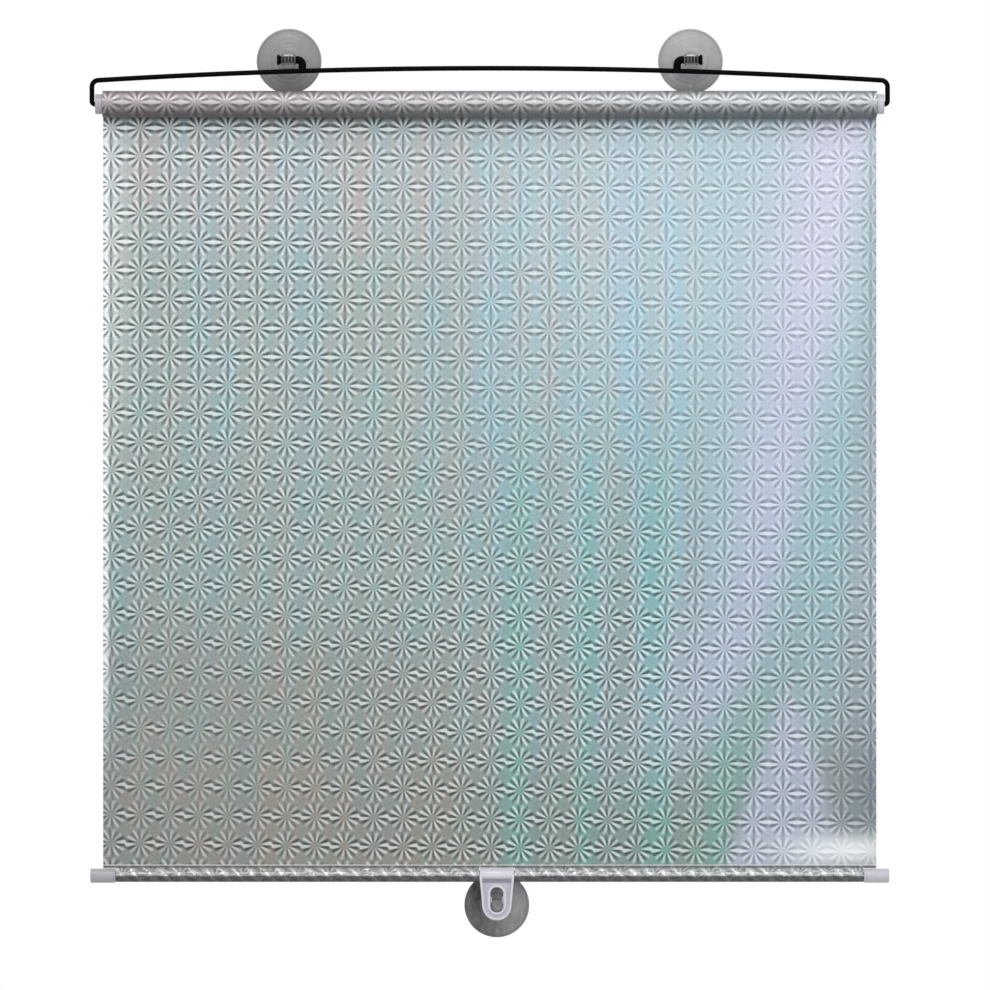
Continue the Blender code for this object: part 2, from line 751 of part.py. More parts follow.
def spring_anchor():
    """The ring fixed in the tube that holds the turning end of the spring."""
    profile = [
        (PLUG_RADIUS, ANCHOR_OUTER), (PLUG_RADIUS, ANCHOR_INNER),
        (MANDREL_RADIUS + RUN_GAP, ANCHOR_INNER), (MANDREL_RADIUS + RUN_GAP, ANCHOR_OUTER),
    ]
    anchor = turned("spring_anchor", profile, FINE_STEPS)
    along_x(anchor)
    hole = cylinder(
        "anchor_hole", SPRING_WIRE + SEAT_GAP,
        ANCHOR_INNER - SEAT_GAP, ANCHOR_INNER + SPRING_TAIL + SEAT_GAP, SMALL_STEPS,
    )
    hole.location = (0, SPRING_RADIUS, 0)
    along_x(hole)
    cut(anchor, hole)
    return anchor


def bottom_bar():
    inside = BAR_RADIUS - BAR_WALL
    profile = [(BAR_RADIUS, BAR_END), (BAR_RADIUS, -BAR_END), (inside, -BAR_END), (inside, BAR_END)]
    bar = turned("bottom_bar", profile, FINE_STEPS)
    along_x(bar)
    return bar


def bar_cap(name, side):
    """A moulded cap over one end of the bar, with a groove behind its rim."""
    inside = BAR_RADIUS + SEAT_GAP
    waist = CAP_RADIUS - CAP_GROOVE
    rim = CAP_INNER + CAP_RIM
    edge = arc(CAP_EDGE, math.pi / 2, 0, EDGE_STEPS, (CAP_RADIUS - CAP_EDGE, CAP_OUTER - CAP_EDGE))
    profile = [(0, CAP_OUTER), *edge, (CAP_RADIUS, rim + 2 * CAP_GROOVE), (waist, rim + CAP_GROOVE)]
    profile += [(CAP_RADIUS, rim), (CAP_RADIUS, CAP_INNER), (inside, CAP_INNER)]
    profile += [(inside, CAP_OUTER - CAP_END), (0, CAP_OUTER - CAP_END)]
    cap = turned(name, profile, SMALL_STEPS)
    cap.rotation_euler = (math.pi / 2, 0, side * math.pi / 2)
    return cap


def clip_outline(inset=0, rise=0):
    """Front outline of the clip's plate: sides that lean in from the bar's axis to a round tip.

    The tip is a circle about the cup's axis. Rise carries the sides on above the bar's axis.
    """
    radius = CLIP_TIP_RADIUS - inset
    half = CLIP_HALF_WIDTH - inset
    lean = math.acos(radius / math.hypot(half, CLIP_DROP)) - math.atan2(CLIP_DROP, half)
    side_x, side_y = radius * math.cos(lean), -CLIP_DROP - radius * math.sin(lean)
    edge = half + (side_x - half) * rise / side_y
    return [(-edge, rise), (edge, rise), *arc(radius, -lean, lean - math.pi, SMALL_STEPS, (0, -CLIP_DROP))]


def slot_outline(radius):
    """The keyhole's round-ended slot, from where the button rests up to where it comes out."""
    low, high = (0, -CLIP_DROP), (0, CLIP_SLOT_TRAVEL - CLIP_DROP)
    half = SMALL_STEPS // 2
    return arc(radius, 0, math.pi, half, high) + arc(radius, math.pi, 2 * math.pi, half, low)


def clip_barrel_tools():
    """The barrel, its bore and the mouth that lets it snap over the bar."""
    beyond = 2 * CLIP_HALF_WIDTH
    half = CLIP_HALF_WIDTH - CLIP_BARREL_INSET
    barrel = cylinder("clip_barrel", CLIP_BARREL, -half, half)
    bore = cylinder("clip_bore", CLIP_BORE, -beyond, beyond)
    edges = (CLIP_MOUTH_TURN - CLIP_MOUTH / 2, CLIP_MOUTH_TURN + CLIP_MOUTH / 2)
    mouth = plate("clip_mouth", [[(0, 0), *arc(2 * CLIP_BARREL, *edges, BEND_STEPS)]], -beyond, beyond)
    for tool in (barrel, bore, mouth):
        tool.rotation_euler = (0, math.pi / 2, 0)
    return barrel, bore, mouth


def hook_clip():
    """The pull clip: a barrel that snaps over the bar, and a plate with a keyhole for the cup.

    It is made about the bar's axis with Y up and Z pointing away from the glass.
    """
    beyond = CLIP_BARREL + CLIP_WALL
    clip = plate("hook_clip", [clip_outline(0, CLIP_TOP)], CLIP_BACK, CLIP_FRONT + CLIP_RIM)
    panel_outline = clip_outline(CLIP_BORDER, CLIP_TOP + CLIP_BORDER)
    slot_border = slot_outline(SLOT_RADIUS + CLIP_SLOT_BORDER)
    panel = plate("clip_panel", [panel_outline, slot_border], CLIP_FRONT, beyond)
    slot = plate("clip_slot", [slot_outline(SLOT_RADIUS)], CLIP_WEB_FRONT, beyond)
    neck = plate("clip_neck_slot", [slot_outline(NECK_SLOT_RADIUS)], 0, beyond)
    top = (0, CLIP_SLOT_TRAVEL - CLIP_DROP)
    key = plate("clip_keyhole", [arc(SLOT_RADIUS, 0, 2 * math.pi, SMALL_STEPS, top)[:-1]], 0, beyond)
    barrel, bore, mouth = clip_barrel_tools()
    cut(clip, panel)
    join(clip, barrel)
    cut(clip, slot, neck, key, bore, mouth)
    clip = baked(clip)
    clip.rotation_euler = AWAY_FROM_GLASS
    return clip


def empty(name, parent=None, location=(0, 0, 0)):
    made = add_object(name, None, parent, location)
    made.empty_display_size = CUP_RADIUS / 2
    return made


def main():
    clear_scene()
    new_collection(BLIND)
    new_collection(CUTTERS, hide_render=True)

    black_wire = material("black_coated_wire", (0.02, 0.02, 0.022), 0.35)
    cup_rubber = material("grey_soft_vinyl", (0.42, 0.42, 0.43), 0.3)
    dark_rubber = material("dark_soft_vinyl", (0.2, 0.2, 0.21), 0.35)
    star_film = material("silver_star_film", (0.62, 0.68, 0.68), 0.25, 0.8)
    pale_plastic = material("pale_plastic", (0.78, 0.78, 0.8), 0.4)
    clip_plastic = material("clear_lilac_plastic", (0.76, 0.74, 0.8), 0.3)
    steel = material("plain_steel", (0.55, 0.55, 0.56), 0.35, 1.0)

    glass = empty("window_glass")
    bail = empty("bail_axis", glass, (0, -PEG_HEIGHT, 0))
    roller = empty("roller_axis", bail, (0, 0, -ROLLER_DROP))
    bar = empty("bar_axis", roller, (0, SHEET_RADIUS, -ROLLER_TO_BAR))
    clip = empty("clip_axis", bar, (CLIP_OFFSET, 0, 0))
    lower_cup = empty("lower_cup_axis", clip, (0, BAR_TO_GLASS, -CLIP_DROP))

    for name, side in (("top_cup_left", -1), ("top_cup_right", 1)):
        cup = finish(hung_cup(name, -side * GATE_PLACE), glass, cup_rubber)
        cup.location.x = side * CUP_SPACING / 2
    finish(wire_bail(), bail, black_wire)
    finish(film_sheet(), roller, star_film)
    finish(film_roll(), roller, star_film)
    finish(roller_tube(), roller, steel)
    finish(idle_plug(), roller, pale_plastic)
    finish(ratchet_plug(), roller, pale_plastic)
    finish(ratchet_shaft(), roller, steel)
    finish(spring_mandrel(), roller, pale_plastic)
    finish(torsion_spring(), roller, steel)
    finish(spring_anchor(), roller, pale_plastic)
    for name, turn in (("upper", 0), ("lower", math.pi)):
        y, z = polar(PAWL_ORBIT, PAWL_PIVOT_ANGLE + turn)
        axis = empty(f"pawl_axis_{name}", roller, (0, y, z))
        axis.rotation_euler = (turn, 0, 0)
        pawl(f"pawl_{name}", axis, steel)
        finish(pawl_pin(f"pawl_pin_{name}"), axis, steel)

    finish(bottom_bar(), bar, pale_plastic)
    finish(film_hem(), bar, star_film)
    finish(bar_cap("bar_cap_left", -1), bar, pale_plastic)
    finish(bar_cap("bar_cap_right", 1), bar, pale_plastic)
    finish(hook_clip(), clip, clip_plastic)
    finish(sliding_cup(), lower_cup, dark_rubber)


main()
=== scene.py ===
"""The looks of a suction cup roller blind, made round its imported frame.

Run as a script in Blender 4.5. X runs along the roller, +Y points at the window glass and Z is up.
The blind is drawn down. Lengths are in metres.
"""

import json
import math

import bmesh
import bpy
from bpy.props import FloatProperty, FloatVectorProperty, IntProperty, PointerProperty
from mathutils import Matrix, Vector


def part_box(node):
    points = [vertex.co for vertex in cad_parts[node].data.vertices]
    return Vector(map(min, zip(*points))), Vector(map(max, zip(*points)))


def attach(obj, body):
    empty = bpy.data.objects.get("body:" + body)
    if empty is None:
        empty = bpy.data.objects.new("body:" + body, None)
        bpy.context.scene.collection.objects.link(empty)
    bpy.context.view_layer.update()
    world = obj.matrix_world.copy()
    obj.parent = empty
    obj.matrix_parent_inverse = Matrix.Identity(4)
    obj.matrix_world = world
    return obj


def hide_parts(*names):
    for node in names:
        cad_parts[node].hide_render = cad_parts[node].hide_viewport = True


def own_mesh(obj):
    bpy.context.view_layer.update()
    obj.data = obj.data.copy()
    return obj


bl_info = {
    "name": "Suction Cup Roller Blind",
    "version": (1, 0, 0),
    "blender": (4, 5, 0),
    "location": "View3D > Sidebar > Roller Blind",
    "description": "Builds the visible pieces and finishes of a suction cup roller blind",
    "category": "Object",
}

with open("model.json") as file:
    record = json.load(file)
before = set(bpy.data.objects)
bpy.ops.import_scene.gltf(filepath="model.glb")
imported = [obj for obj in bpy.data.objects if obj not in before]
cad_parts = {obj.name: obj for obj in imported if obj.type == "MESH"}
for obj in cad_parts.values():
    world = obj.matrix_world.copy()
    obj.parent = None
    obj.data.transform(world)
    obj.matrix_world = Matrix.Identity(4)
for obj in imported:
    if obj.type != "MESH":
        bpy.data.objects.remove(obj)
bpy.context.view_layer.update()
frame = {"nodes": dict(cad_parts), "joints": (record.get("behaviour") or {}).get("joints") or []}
JOINTS = {joint["name"]: joint for joint in frame["joints"]}
NODES = frame["nodes"]

# Places read from the frame
BAIL_AXIS = Vector(JOINTS["bail_swing"]["pos_m"])
ROLLER_AXIS = Vector(JOINTS["roller_turn"]["pos_m"])
CLIP_AXIS = Vector(JOINTS["clip_swing"]["pos_m"])
CUP_PLACES = {
    name: (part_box(name)[0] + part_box(name)[1]) / 2
    for name in ("top_cup_left", "top_cup_right", "bottom_cup")
}

# Sizes that the solids share
FILM_END = 0.250
FILM_THICKNESS = 0.00025
SHEET_RADIUS = 0.009105
ROLL_RADIUS = 0.008555
ROLL_PITCH = 0.00032
ROLL_TURNS = 4
SHEET_WRAP = math.radians(40)
SEAT_GAP = 0.0003
SHEET_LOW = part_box("film_sheet")[0].z
WELD = 0.000001
TURN = 2 * math.pi

# The image's size in pixels and the film's scale in it
IMAGE_SIDE = 990
METRES_PER_PIXEL = 0.0006468
IMAGE_CENTRE = (0.0034, -0.281)


def linear(*levels):
    """A colour written as screen levels from 0 to 255, in linear light."""
    return tuple(
        (c / 12.92 if c <= 0.04045 else ((c + 0.055) / 1.055) ** 2.4)
        for c in (level / 255 for level in levels)
    )


# ---- sizes and colours that a user would change


class FilmSettings(bpy.types.PropertyGroup):
    star_width: FloatProperty(
        name="Star width", description="Distance between stars side by side", default=0.0190,
        subtype="DISTANCE", unit="LENGTH",
    )
    star_height: FloatProperty(
        name="Star height", description="Distance between rows of stars", default=0.0186,
        subtype="DISTANCE", unit="LENGTH",
    )
    star_rays: IntProperty(
        name="Rays", description="Bright rays in one star", default=10, min=4
    )
    print_slope: FloatProperty(
        name="Print slope", description="Fall of a row of stars along the film's width", default=0.0096
    )
    silver: FloatVectorProperty(
        name="Silver", description="Tint of the left half near the roller",
        default=linear(173, 182, 183), subtype="COLOR",
    )
    mist: FloatVectorProperty(
        name="Mist", description="Tint of the left half at middle height",
        default=linear(152, 170, 168), subtype="COLOR",
    )
    olive: FloatVectorProperty(
        name="Olive", description="Tint of the left half near the bar",
        default=linear(145, 147, 141), subtype="COLOR",
    )
    ice: FloatVectorProperty(
        name="Ice", description="Tint of the right half near the roller",
        default=linear(178, 200, 209), subtype="COLOR",
    )
    lagoon: FloatVectorProperty(
        name="Lagoon", description="Tint of the right half at middle height",
        default=linear(150, 184, 192), subtype="COLOR",
    )
    teal: FloatVectorProperty(
        name="Teal", description="Tint of the right half near the bar",
        default=linear(128, 153, 148), subtype="COLOR",
    )
    lavender: FloatVectorProperty(
        name="Lavender", description="Tint of the bright band near the roller",
        default=linear(207, 206, 227), subtype="COLOR",
    )
    periwinkle: FloatVectorProperty(
        name="Periwinkle", description="Tint of the bright band lower down",
        default=linear(170, 183, 205), subtype="COLOR",
    )


class CupSettings(bpy.types.PropertyGroup):
    radius: FloatProperty(
        name="Radius", description="Outer radius of a suction cup", default=0.021,
        subtype="DISTANCE", unit="LENGTH",
    )
    upper_colour: FloatVectorProperty(
        name="Upper cups", description="Colour of the soft vinyl of the upper cups",
        default=linear(192, 192, 193), subtype="COLOR",
    )
    lower_colour: FloatVectorProperty(
        name="Lower cup", description="Colour of the soft vinyl of the lower cup",
        default=linear(147, 147, 148), subtype="COLOR",
    )


class HardwareSettings(bpy.types.PropertyGroup):
    wire_radius: FloatProperty(
        name="Wire radius", description="Radius of the bail's coated wire", default=0.0016,
        subtype="DISTANCE", unit="LENGTH",
    )
    wire_colour: FloatVectorProperty(
        name="Wire", description="Colour of the bail's coat", default=linear(3, 3, 4),
        subtype="COLOR",
    )
    plastic_colour: FloatVectorProperty(
        name="Plastic", description="Colour of the caps and plugs", default=linear(181, 179, 187),
        subtype="COLOR",
    )
    clip_colour: FloatVectorProperty(
        name="Clip", description="Colour of the pull clip", default=linear(206, 203, 220),
        subtype="COLOR",
    )


class StageSettings(bpy.types.PropertyGroup):
    distance: FloatProperty(
        name="Camera distance", description="Distance from the camera to the film", default=6.0,
        subtype="DISTANCE", unit="LENGTH",
    )
    floor_height: FloatProperty(
        name="Floor height", description="Height of the floor under the glass's origin",
        default=-0.8, subtype="DISTANCE", unit="LENGTH",
    )


# ---- shapes


def move(shape, matrix):
    bmesh.ops.transform(shape, matrix=matrix, verts=shape.verts)
    return shape


def spun(profile, steps=96):
    """A closed skin turned about Z from (radius, height) points."""
    shape = bmesh.new()
    points = [shape.verts.new((radius, 0, height)) for radius, height in profile]
    edges = [shape.edges.new(pair) for pair in zip(points, points[1:])]
    if profile[0][0] > WELD:
        edges.append(shape.edges.new((points[-1], points[0])))
    bmesh.ops.spin(
        shape, geom=points + edges, cent=(0, 0, 0), axis=(0, 0, 1), angle=TURN,
        steps=steps, use_merge=True, use_duplicate=False,
    )
    bmesh.ops.remove_doubles(shape, verts=shape.verts, dist=WELD)
    bmesh.ops.recalc_face_normals(shape, faces=shape.faces)
    return shape


def prism(outline, low, high):
    """A flat outline in X and Y, extruded between two heights."""
    shape = bmesh.new()
    face = shape.faces.new([shape.verts.new((x, y, low)) for x, y in outline])
    grown = bmesh.ops.extrude_face_region(shape, geom=[face])["geom"]
    raised = [item for item in grown if isinstance(item, bmesh.types.BMVert)]
    bmesh.ops.translate(shape, verts=raised, vec=(0, 0, high - low))
    bmesh.ops.recalc_face_normals(shape, faces=shape.faces)
    return shape


def rod(radius, low, high, steps=64):
    """A cylinder on Z between two heights."""
    shape = bmesh.new()
    bmesh.ops.create_cone(
        shape, cap_ends=True, segments=steps, radius1=radius, radius2=radius, depth=high - low
    )
    bmesh.ops.translate(shape, verts=shape.verts, vec=(0, 0, (low + high) / 2))
    return shape


def swept(points, radius, sides=24):
    """A round wire along a path, with closed ends."""
    shape = bmesh.new()
    points = [Vector(point) for point in points]
    rings = []
    normal = None
    for i, point in enumerate(points):
        ahead = points[min(i + 1, len(points) - 1)] - point
        behind = point - points[max(i - 1, 0)]
        tangent = (ahead.normalized() + behind.normalized()).normalized()
        if normal is None:
            normal = tangent.orthogonal().normalized()
        normal = (normal - tangent * normal.dot(tangent)).normalized()
        across = tangent.cross(normal)
        half = ahead.angle(behind) / 2 if ahead.length > WELD and behind.length > WELD else 0
        ring = []
        for k in range(sides):
            angle = TURN * k / sides
            ring.append(shape.verts.new(
                point + radius / math.cos(half) ** 0.5
                * (normal * math.cos(angle) + across * math.sin(angle))
            ))
        rings.append([shape.edges.new((a, b)) for a, b in zip(ring, ring[1:] + ring[:1])])
    for first, second in zip(rings, rings[1:]):
        bmesh.ops.bridge_loops(shape, edges=first + second)
    for ring in (rings[0], rings[-1]):
        bmesh.ops.contextual_create(shape, geom=ring)
    bmesh.ops.recalc_face_normals(shape, faces=shape.faces)
    return shape


def strip(path, columns=1, layer_start=0.0):
    """Film along a path of (y, z) points, from end to end, with its flat size as its UV map."""
    shape = bmesh.new()
    layer = shape.loops.layers.uv.new("film")
    flat = {}
    rows = []
    for i in range(columns + 1):
        x = FILM_END * (2 * i / columns - 1)
        run, row, last = layer_start, [], None
        for y, z in path:
            vert = shape.verts.new((x, y, z))
            run += (vert.co - last).length if last else 0
            last = vert.co.copy()
            flat[vert] = (x, run)
            row.append(vert)
        rows.append(row)
    for first, second in zip(rows, rows[1:]):
        for k in range(len(path) - 1):
            face = shape.faces.new((first[k], second[k], second[k + 1], first[k + 1]))
            for loop in face.loops:
                loop[layer].uv = flat[loop.vert]
    return shape


def polar(radius, angle, centre=(0, 0)):
    return (centre[0] + radius * math.cos(angle), centre[1] + radius * math.sin(angle))


def arc(radius, start, end, steps, centre=(0, 0)):
    """Points on a circle from one angle to another, both ends included."""
    return [polar(radius, start + (end - start) * i / steps, centre) for i in range(steps + 1)]


def bent(corners, steps=12):
    """A path through (point, bend radius) corners, each bend drawn as an arc."""
    points = []
    for place, (corner, radius) in enumerate(corners):
        corner = Vector(corner)
        if not radius:
            points.append(corner)
            continue
        back = (Vector(corners[place - 1][0]) - corner).normalized()
        ahead = (Vector(corners[place + 1][0]) - corner).normalized()
        half = back.angle(ahead) / 2
        centre = corner + (back + ahead).normalized() * radius / math.sin(half)
        first = (corner + back * radius / math.tan(half) - centre).normalized()
        last = (corner + ahead * radius / math.tan(half) - centre).normalized()
        points += [centre + radius * first.slerp(last, i / steps) for i in range(steps + 1)]
    return points


def mesh_object(name, shape):
    mesh = bpy.data.meshes.new(name)
    shape.to_mesh(mesh)
    shape.free()
    made = bpy.data.objects.new(name, mesh)
    bpy.context.scene.collection.objects.link(made)
    return made


def settle(made):
    """Applies an object's modifiers to its mesh."""
    bpy.context.view_layer.update()
    graph = bpy.context.evaluated_depsgraph_get()
    mesh = bpy.data.meshes.new_from_object(made.evaluated_get(graph))
    made.modifiers.clear()
    made.data = mesh
    mesh.name = made.name
    return made


def carve(made, operation, *shapes):
    """Joins shapes to an object, or cuts it by them."""
    tools = [mesh_object("tool", shape) for shape in shapes]
    for tool in tools:
        boolean = made.modifiers.new("Boolean", "BOOLEAN")
        boolean.operation = operation
        boolean.object = tool
    settle(made)
    for tool in tools:
        bpy.data.objects.remove(tool)
    return made


def bevelled(made, width, segments=2, angle=35):
    """Rounds an object's sharp edges."""
    bevel = made.modifiers.new("Bevel", "BEVEL")
    bevel.width = width
    bevel.segments = segments
    bevel.limit_method = "ANGLE"
    bevel.angle_limit = math.radians(angle)
    bevel.use_clamp_overlap = True
    return settle(made)


def dress(made, body, finish, replaced=(), sharp=35):
    """Gives a finished piece its material, shading, body and the nodes it stands for."""
    made.data.materials.clear()
    made.data.materials.append(finish)
    made.data.shade_smooth()
    made.data.set_sharp_from_angle(angle=math.radians(sharp))
    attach(made, body)
    if replaced:
        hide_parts(*replaced)
    return made


def repaint(finish, *names):
    """Gives CAD nodes that stay in view a better material."""
    for name in names:
        NODES[name].data.materials.clear()
        NODES[name].data.materials.append(finish)


# ---- materials


class Net:
    """A material's nodes, made by short calls that take numbers or sockets."""

    def __init__(self, name):
        self.made = bpy.data.materials.new(name)
        self.made.use_nodes = True
        self.tree = self.made.node_tree
        self.shader = self.tree.nodes["Principled BSDF"]

    def node(self, kind, **settings):
        node = self.tree.nodes.new(f"ShaderNode{kind}")
        for key, value in settings.items():
            setattr(node, key, value)
        return node

    def put(self, socket, value):
        if isinstance(value, bpy.types.NodeSocket):
            self.tree.links.new(value, socket)
        elif hasattr(value, "__len__") and len(value) == 3 and socket.type == "RGBA":
            socket.default_value = (*value, 1)
        else:
            socket.default_value = value

    def math(self, operation, *values, clamp=False):
        node = self.node("Math", operation=operation, use_clamp=clamp)
        for socket, value in zip(node.inputs, values):
            self.put(socket, value)
        return node.outputs[0]

    def smooth(self, value, low, high, start=0.0, end=1.0):
        node = self.node("MapRange", interpolation_type="SMOOTHSTEP")
        for key, number in zip(("Value", "From Min", "From Max", "To Min", "To Max"),
                               (value, low, high, start, end)):
            self.put(node.inputs[key], number)
        return node.outputs[0]

    def mix(self, share, first, second, blend="MIX"):
        node = self.node("Mix", data_type="RGBA", blend_type=blend)
        for place, value in ((0, share), (6, first), (7, second)):
            self.put(node.inputs[place], value)
        return node.outputs[2]

    def mixed(self, share, first, second):
        """A number between two others."""
        return self.math("MULTIPLY_ADD", self.math("SUBTRACT", second, first), share, first)

    def split(self, vector):
        node = self.node("SeparateXYZ")
        self.put(node.inputs[0], vector)
        return node.outputs

    def join(self, x, y, z):
        node = self.node("CombineXYZ")
        for socket, value in zip(node.inputs, (x, y, z)):
            self.put(socket, value)
        return node.outputs[0]

    def ramp(self, value, *stops):
        """Colours that blend from stop to stop."""
        node = self.node("ValToRGB")
        line = node.color_ramp
        line.interpolation = "EASE"
        for element, (place, colour) in zip((line.elements[0], line.elements[1]), (stops[0], stops[-1])):
            element.position, element.color = place, (*colour, 1)
        for place, colour in stops[1:-1]:
            line.elements.new(place).color = (*colour, 1)
        self.put(node.inputs[0], value)
        return node.outputs[0]

    def noise(self, vector, scale, detail=2.0, roughness=0.5):
        node = self.node("TexNoise")
        self.put(node.inputs["Vector"], vector)
        node.inputs["Scale"].default_value = scale
        node.inputs["Detail"].default_value = detail
        node.inputs["Roughness"].default_value = roughness
        return node.outputs["Fac"]

    def place(self):
        return self.node("TexCoord").outputs["Object"]

    def bump(self, height, strength, distance):
        node = self.node("Bump")
        node.inputs["Strength"].default_value = strength
        node.inputs["Distance"].default_value = distance
        self.put(node.inputs["Height"], height)
        self.tree.links.new(node.outputs[0], self.shader.inputs["Normal"])

    def surface(self, colour, roughness, **values):
        self.put(self.shader.inputs["Base Color"], colour)
        self.put(self.shader.inputs["Roughness"], roughness)
        for key, value in values.items():
            self.shader.inputs[key.replace("_", " ")].default_value = value
        return self.made


def star_shade(net, u, v, turn=0.0, calm=0.0, slant=0.15):
    """Light and dark of the printed stars, from -1 to 1, and where their level petals lie.

    Where the film is calm, only the level petals catch the light. The slant dims the rays that
    rise to the right.
    """
    film = bpy.context.scene.blind_film
    across = net.math("SUBTRACT", net.math("FRACT", net.math("DIVIDE", u, film.star_width)), 0.5)
    up = net.math("SUBTRACT", net.math("FRACT", net.math("DIVIDE", v, film.star_height)), 0.5)
    side, rise = net.math("ABSOLUTE", across), net.math("ABSOLUTE", up)
    joined = net.smooth(side, 0.42, 0.50, 1.0, 0.45)
    # The upright petals widen in their middle
    widen = net.math("MULTIPLY", net.smooth(rise, 0.27, 0.50), net.smooth(side, 0.31, 0.24))
    drawn_in = net.math("MULTIPLY", across, net.math("MULTIPLY_ADD", widen, -0.20, 1.0))
    angle = net.math("ADD", net.math("ARCTAN2", up, drawn_in), net.math("MULTIPLY", joined, turn))
    radius = net.math("SQRT", net.math(
        "ADD", net.math("POWER", across, 2.0), net.math("POWER", up, 2.0)
    ))
    diamond = net.math("ADD", side, rise)
    lean = net.math("ABSOLUTE", net.math("COSINE", angle))
    level = net.smooth(lean, 0.90, 0.975)
    # Rays thin out towards their tips
    ray = net.math("COSINE", net.math("MULTIPLY", angle, float(film.star_rays)))
    thin = net.math("MULTIPLY", net.smooth(radius, 0.22, 0.50, 0.0, 0.34), net.math("SUBTRACT", 1.0, level))
    depth = net.smooth(net.math("ABSOLUTE", ray), thin, net.math("ADD", thin, 0.55))
    ray = net.math("MULTIPLY", net.math("SIGN", ray), depth)
    rising = net.math("COSINE", net.math("MULTIPLY_ADD", angle, 2.0, -0.2 * TURN))
    rising = net.math("MULTIPLY", net.math("MULTIPLY", rising, slant), net.math("MAXIMUM", ray, 0.0))
    ray = net.math("SUBTRACT", ray, rising)
    hub = net.smooth(net.math("MULTIPLY_ADD", level, -0.05, radius), 0.08, 0.23)
    tip = net.math("MULTIPLY_ADD", widen, -0.06, diamond)
    reach = net.math("MULTIPLY", hub, net.smooth(tip, 0.61, 0.74, 1, 0))
    wide = net.smooth(lean, 0.80, 0.93)
    kept = net.math("SUBTRACT", 1.0, net.math("MULTIPLY", calm, net.math("SUBTRACT", 1.0, wide)))
    shade = net.math("MULTIPLY", net.math("MULTIPLY", ray, reach), kept)
    # The dark rays beside a level petal fade where two stars meet
    meet = net.math("MULTIPLY", net.smooth(side, 0.36, 0.49), net.smooth(rise, 0.30, 0.22))
    meet = net.math("MULTIPLY", meet, 0.55)
    meet = net.math("MAXIMUM", meet, net.math("MULTIPLY", widen, net.smooth(side, 0.045, 0.085, 0.4, 0.7)))
    dark, light = net.math("MINIMUM", shade, 0.0), net.math("MAXIMUM", shade, 0.0)
    deeper = net.math("MULTIPLY", wide, 0.25)
    dark = net.math("MULTIPLY", dark, net.math("ADD", net.math("SUBTRACT", 1.0, meet), deeper))
    # The light rays of the upright petals end before the next star
    ended = net.math("MULTIPLY", net.smooth(rise, 0.41, 0.48), net.smooth(side, 0.31, 0.24))
    light = net.math("MULTIPLY", light, net.math("MULTIPLY_ADD", ended, -0.65, 1.0))
    shade = net.math("ADD", dark, light)
    # Faint crossed lines in the plain squares between the stars
    cross = net.math("ABSOLUTE", net.math("SUBTRACT", side, rise))
    cross = net.math("MULTIPLY", net.smooth(cross, 0.05, 0.01), net.smooth(diamond, 0.66, 0.76))
    return net.math("SUBTRACT", shade, net.math("MULTIPLY", cross, 0.16)), level


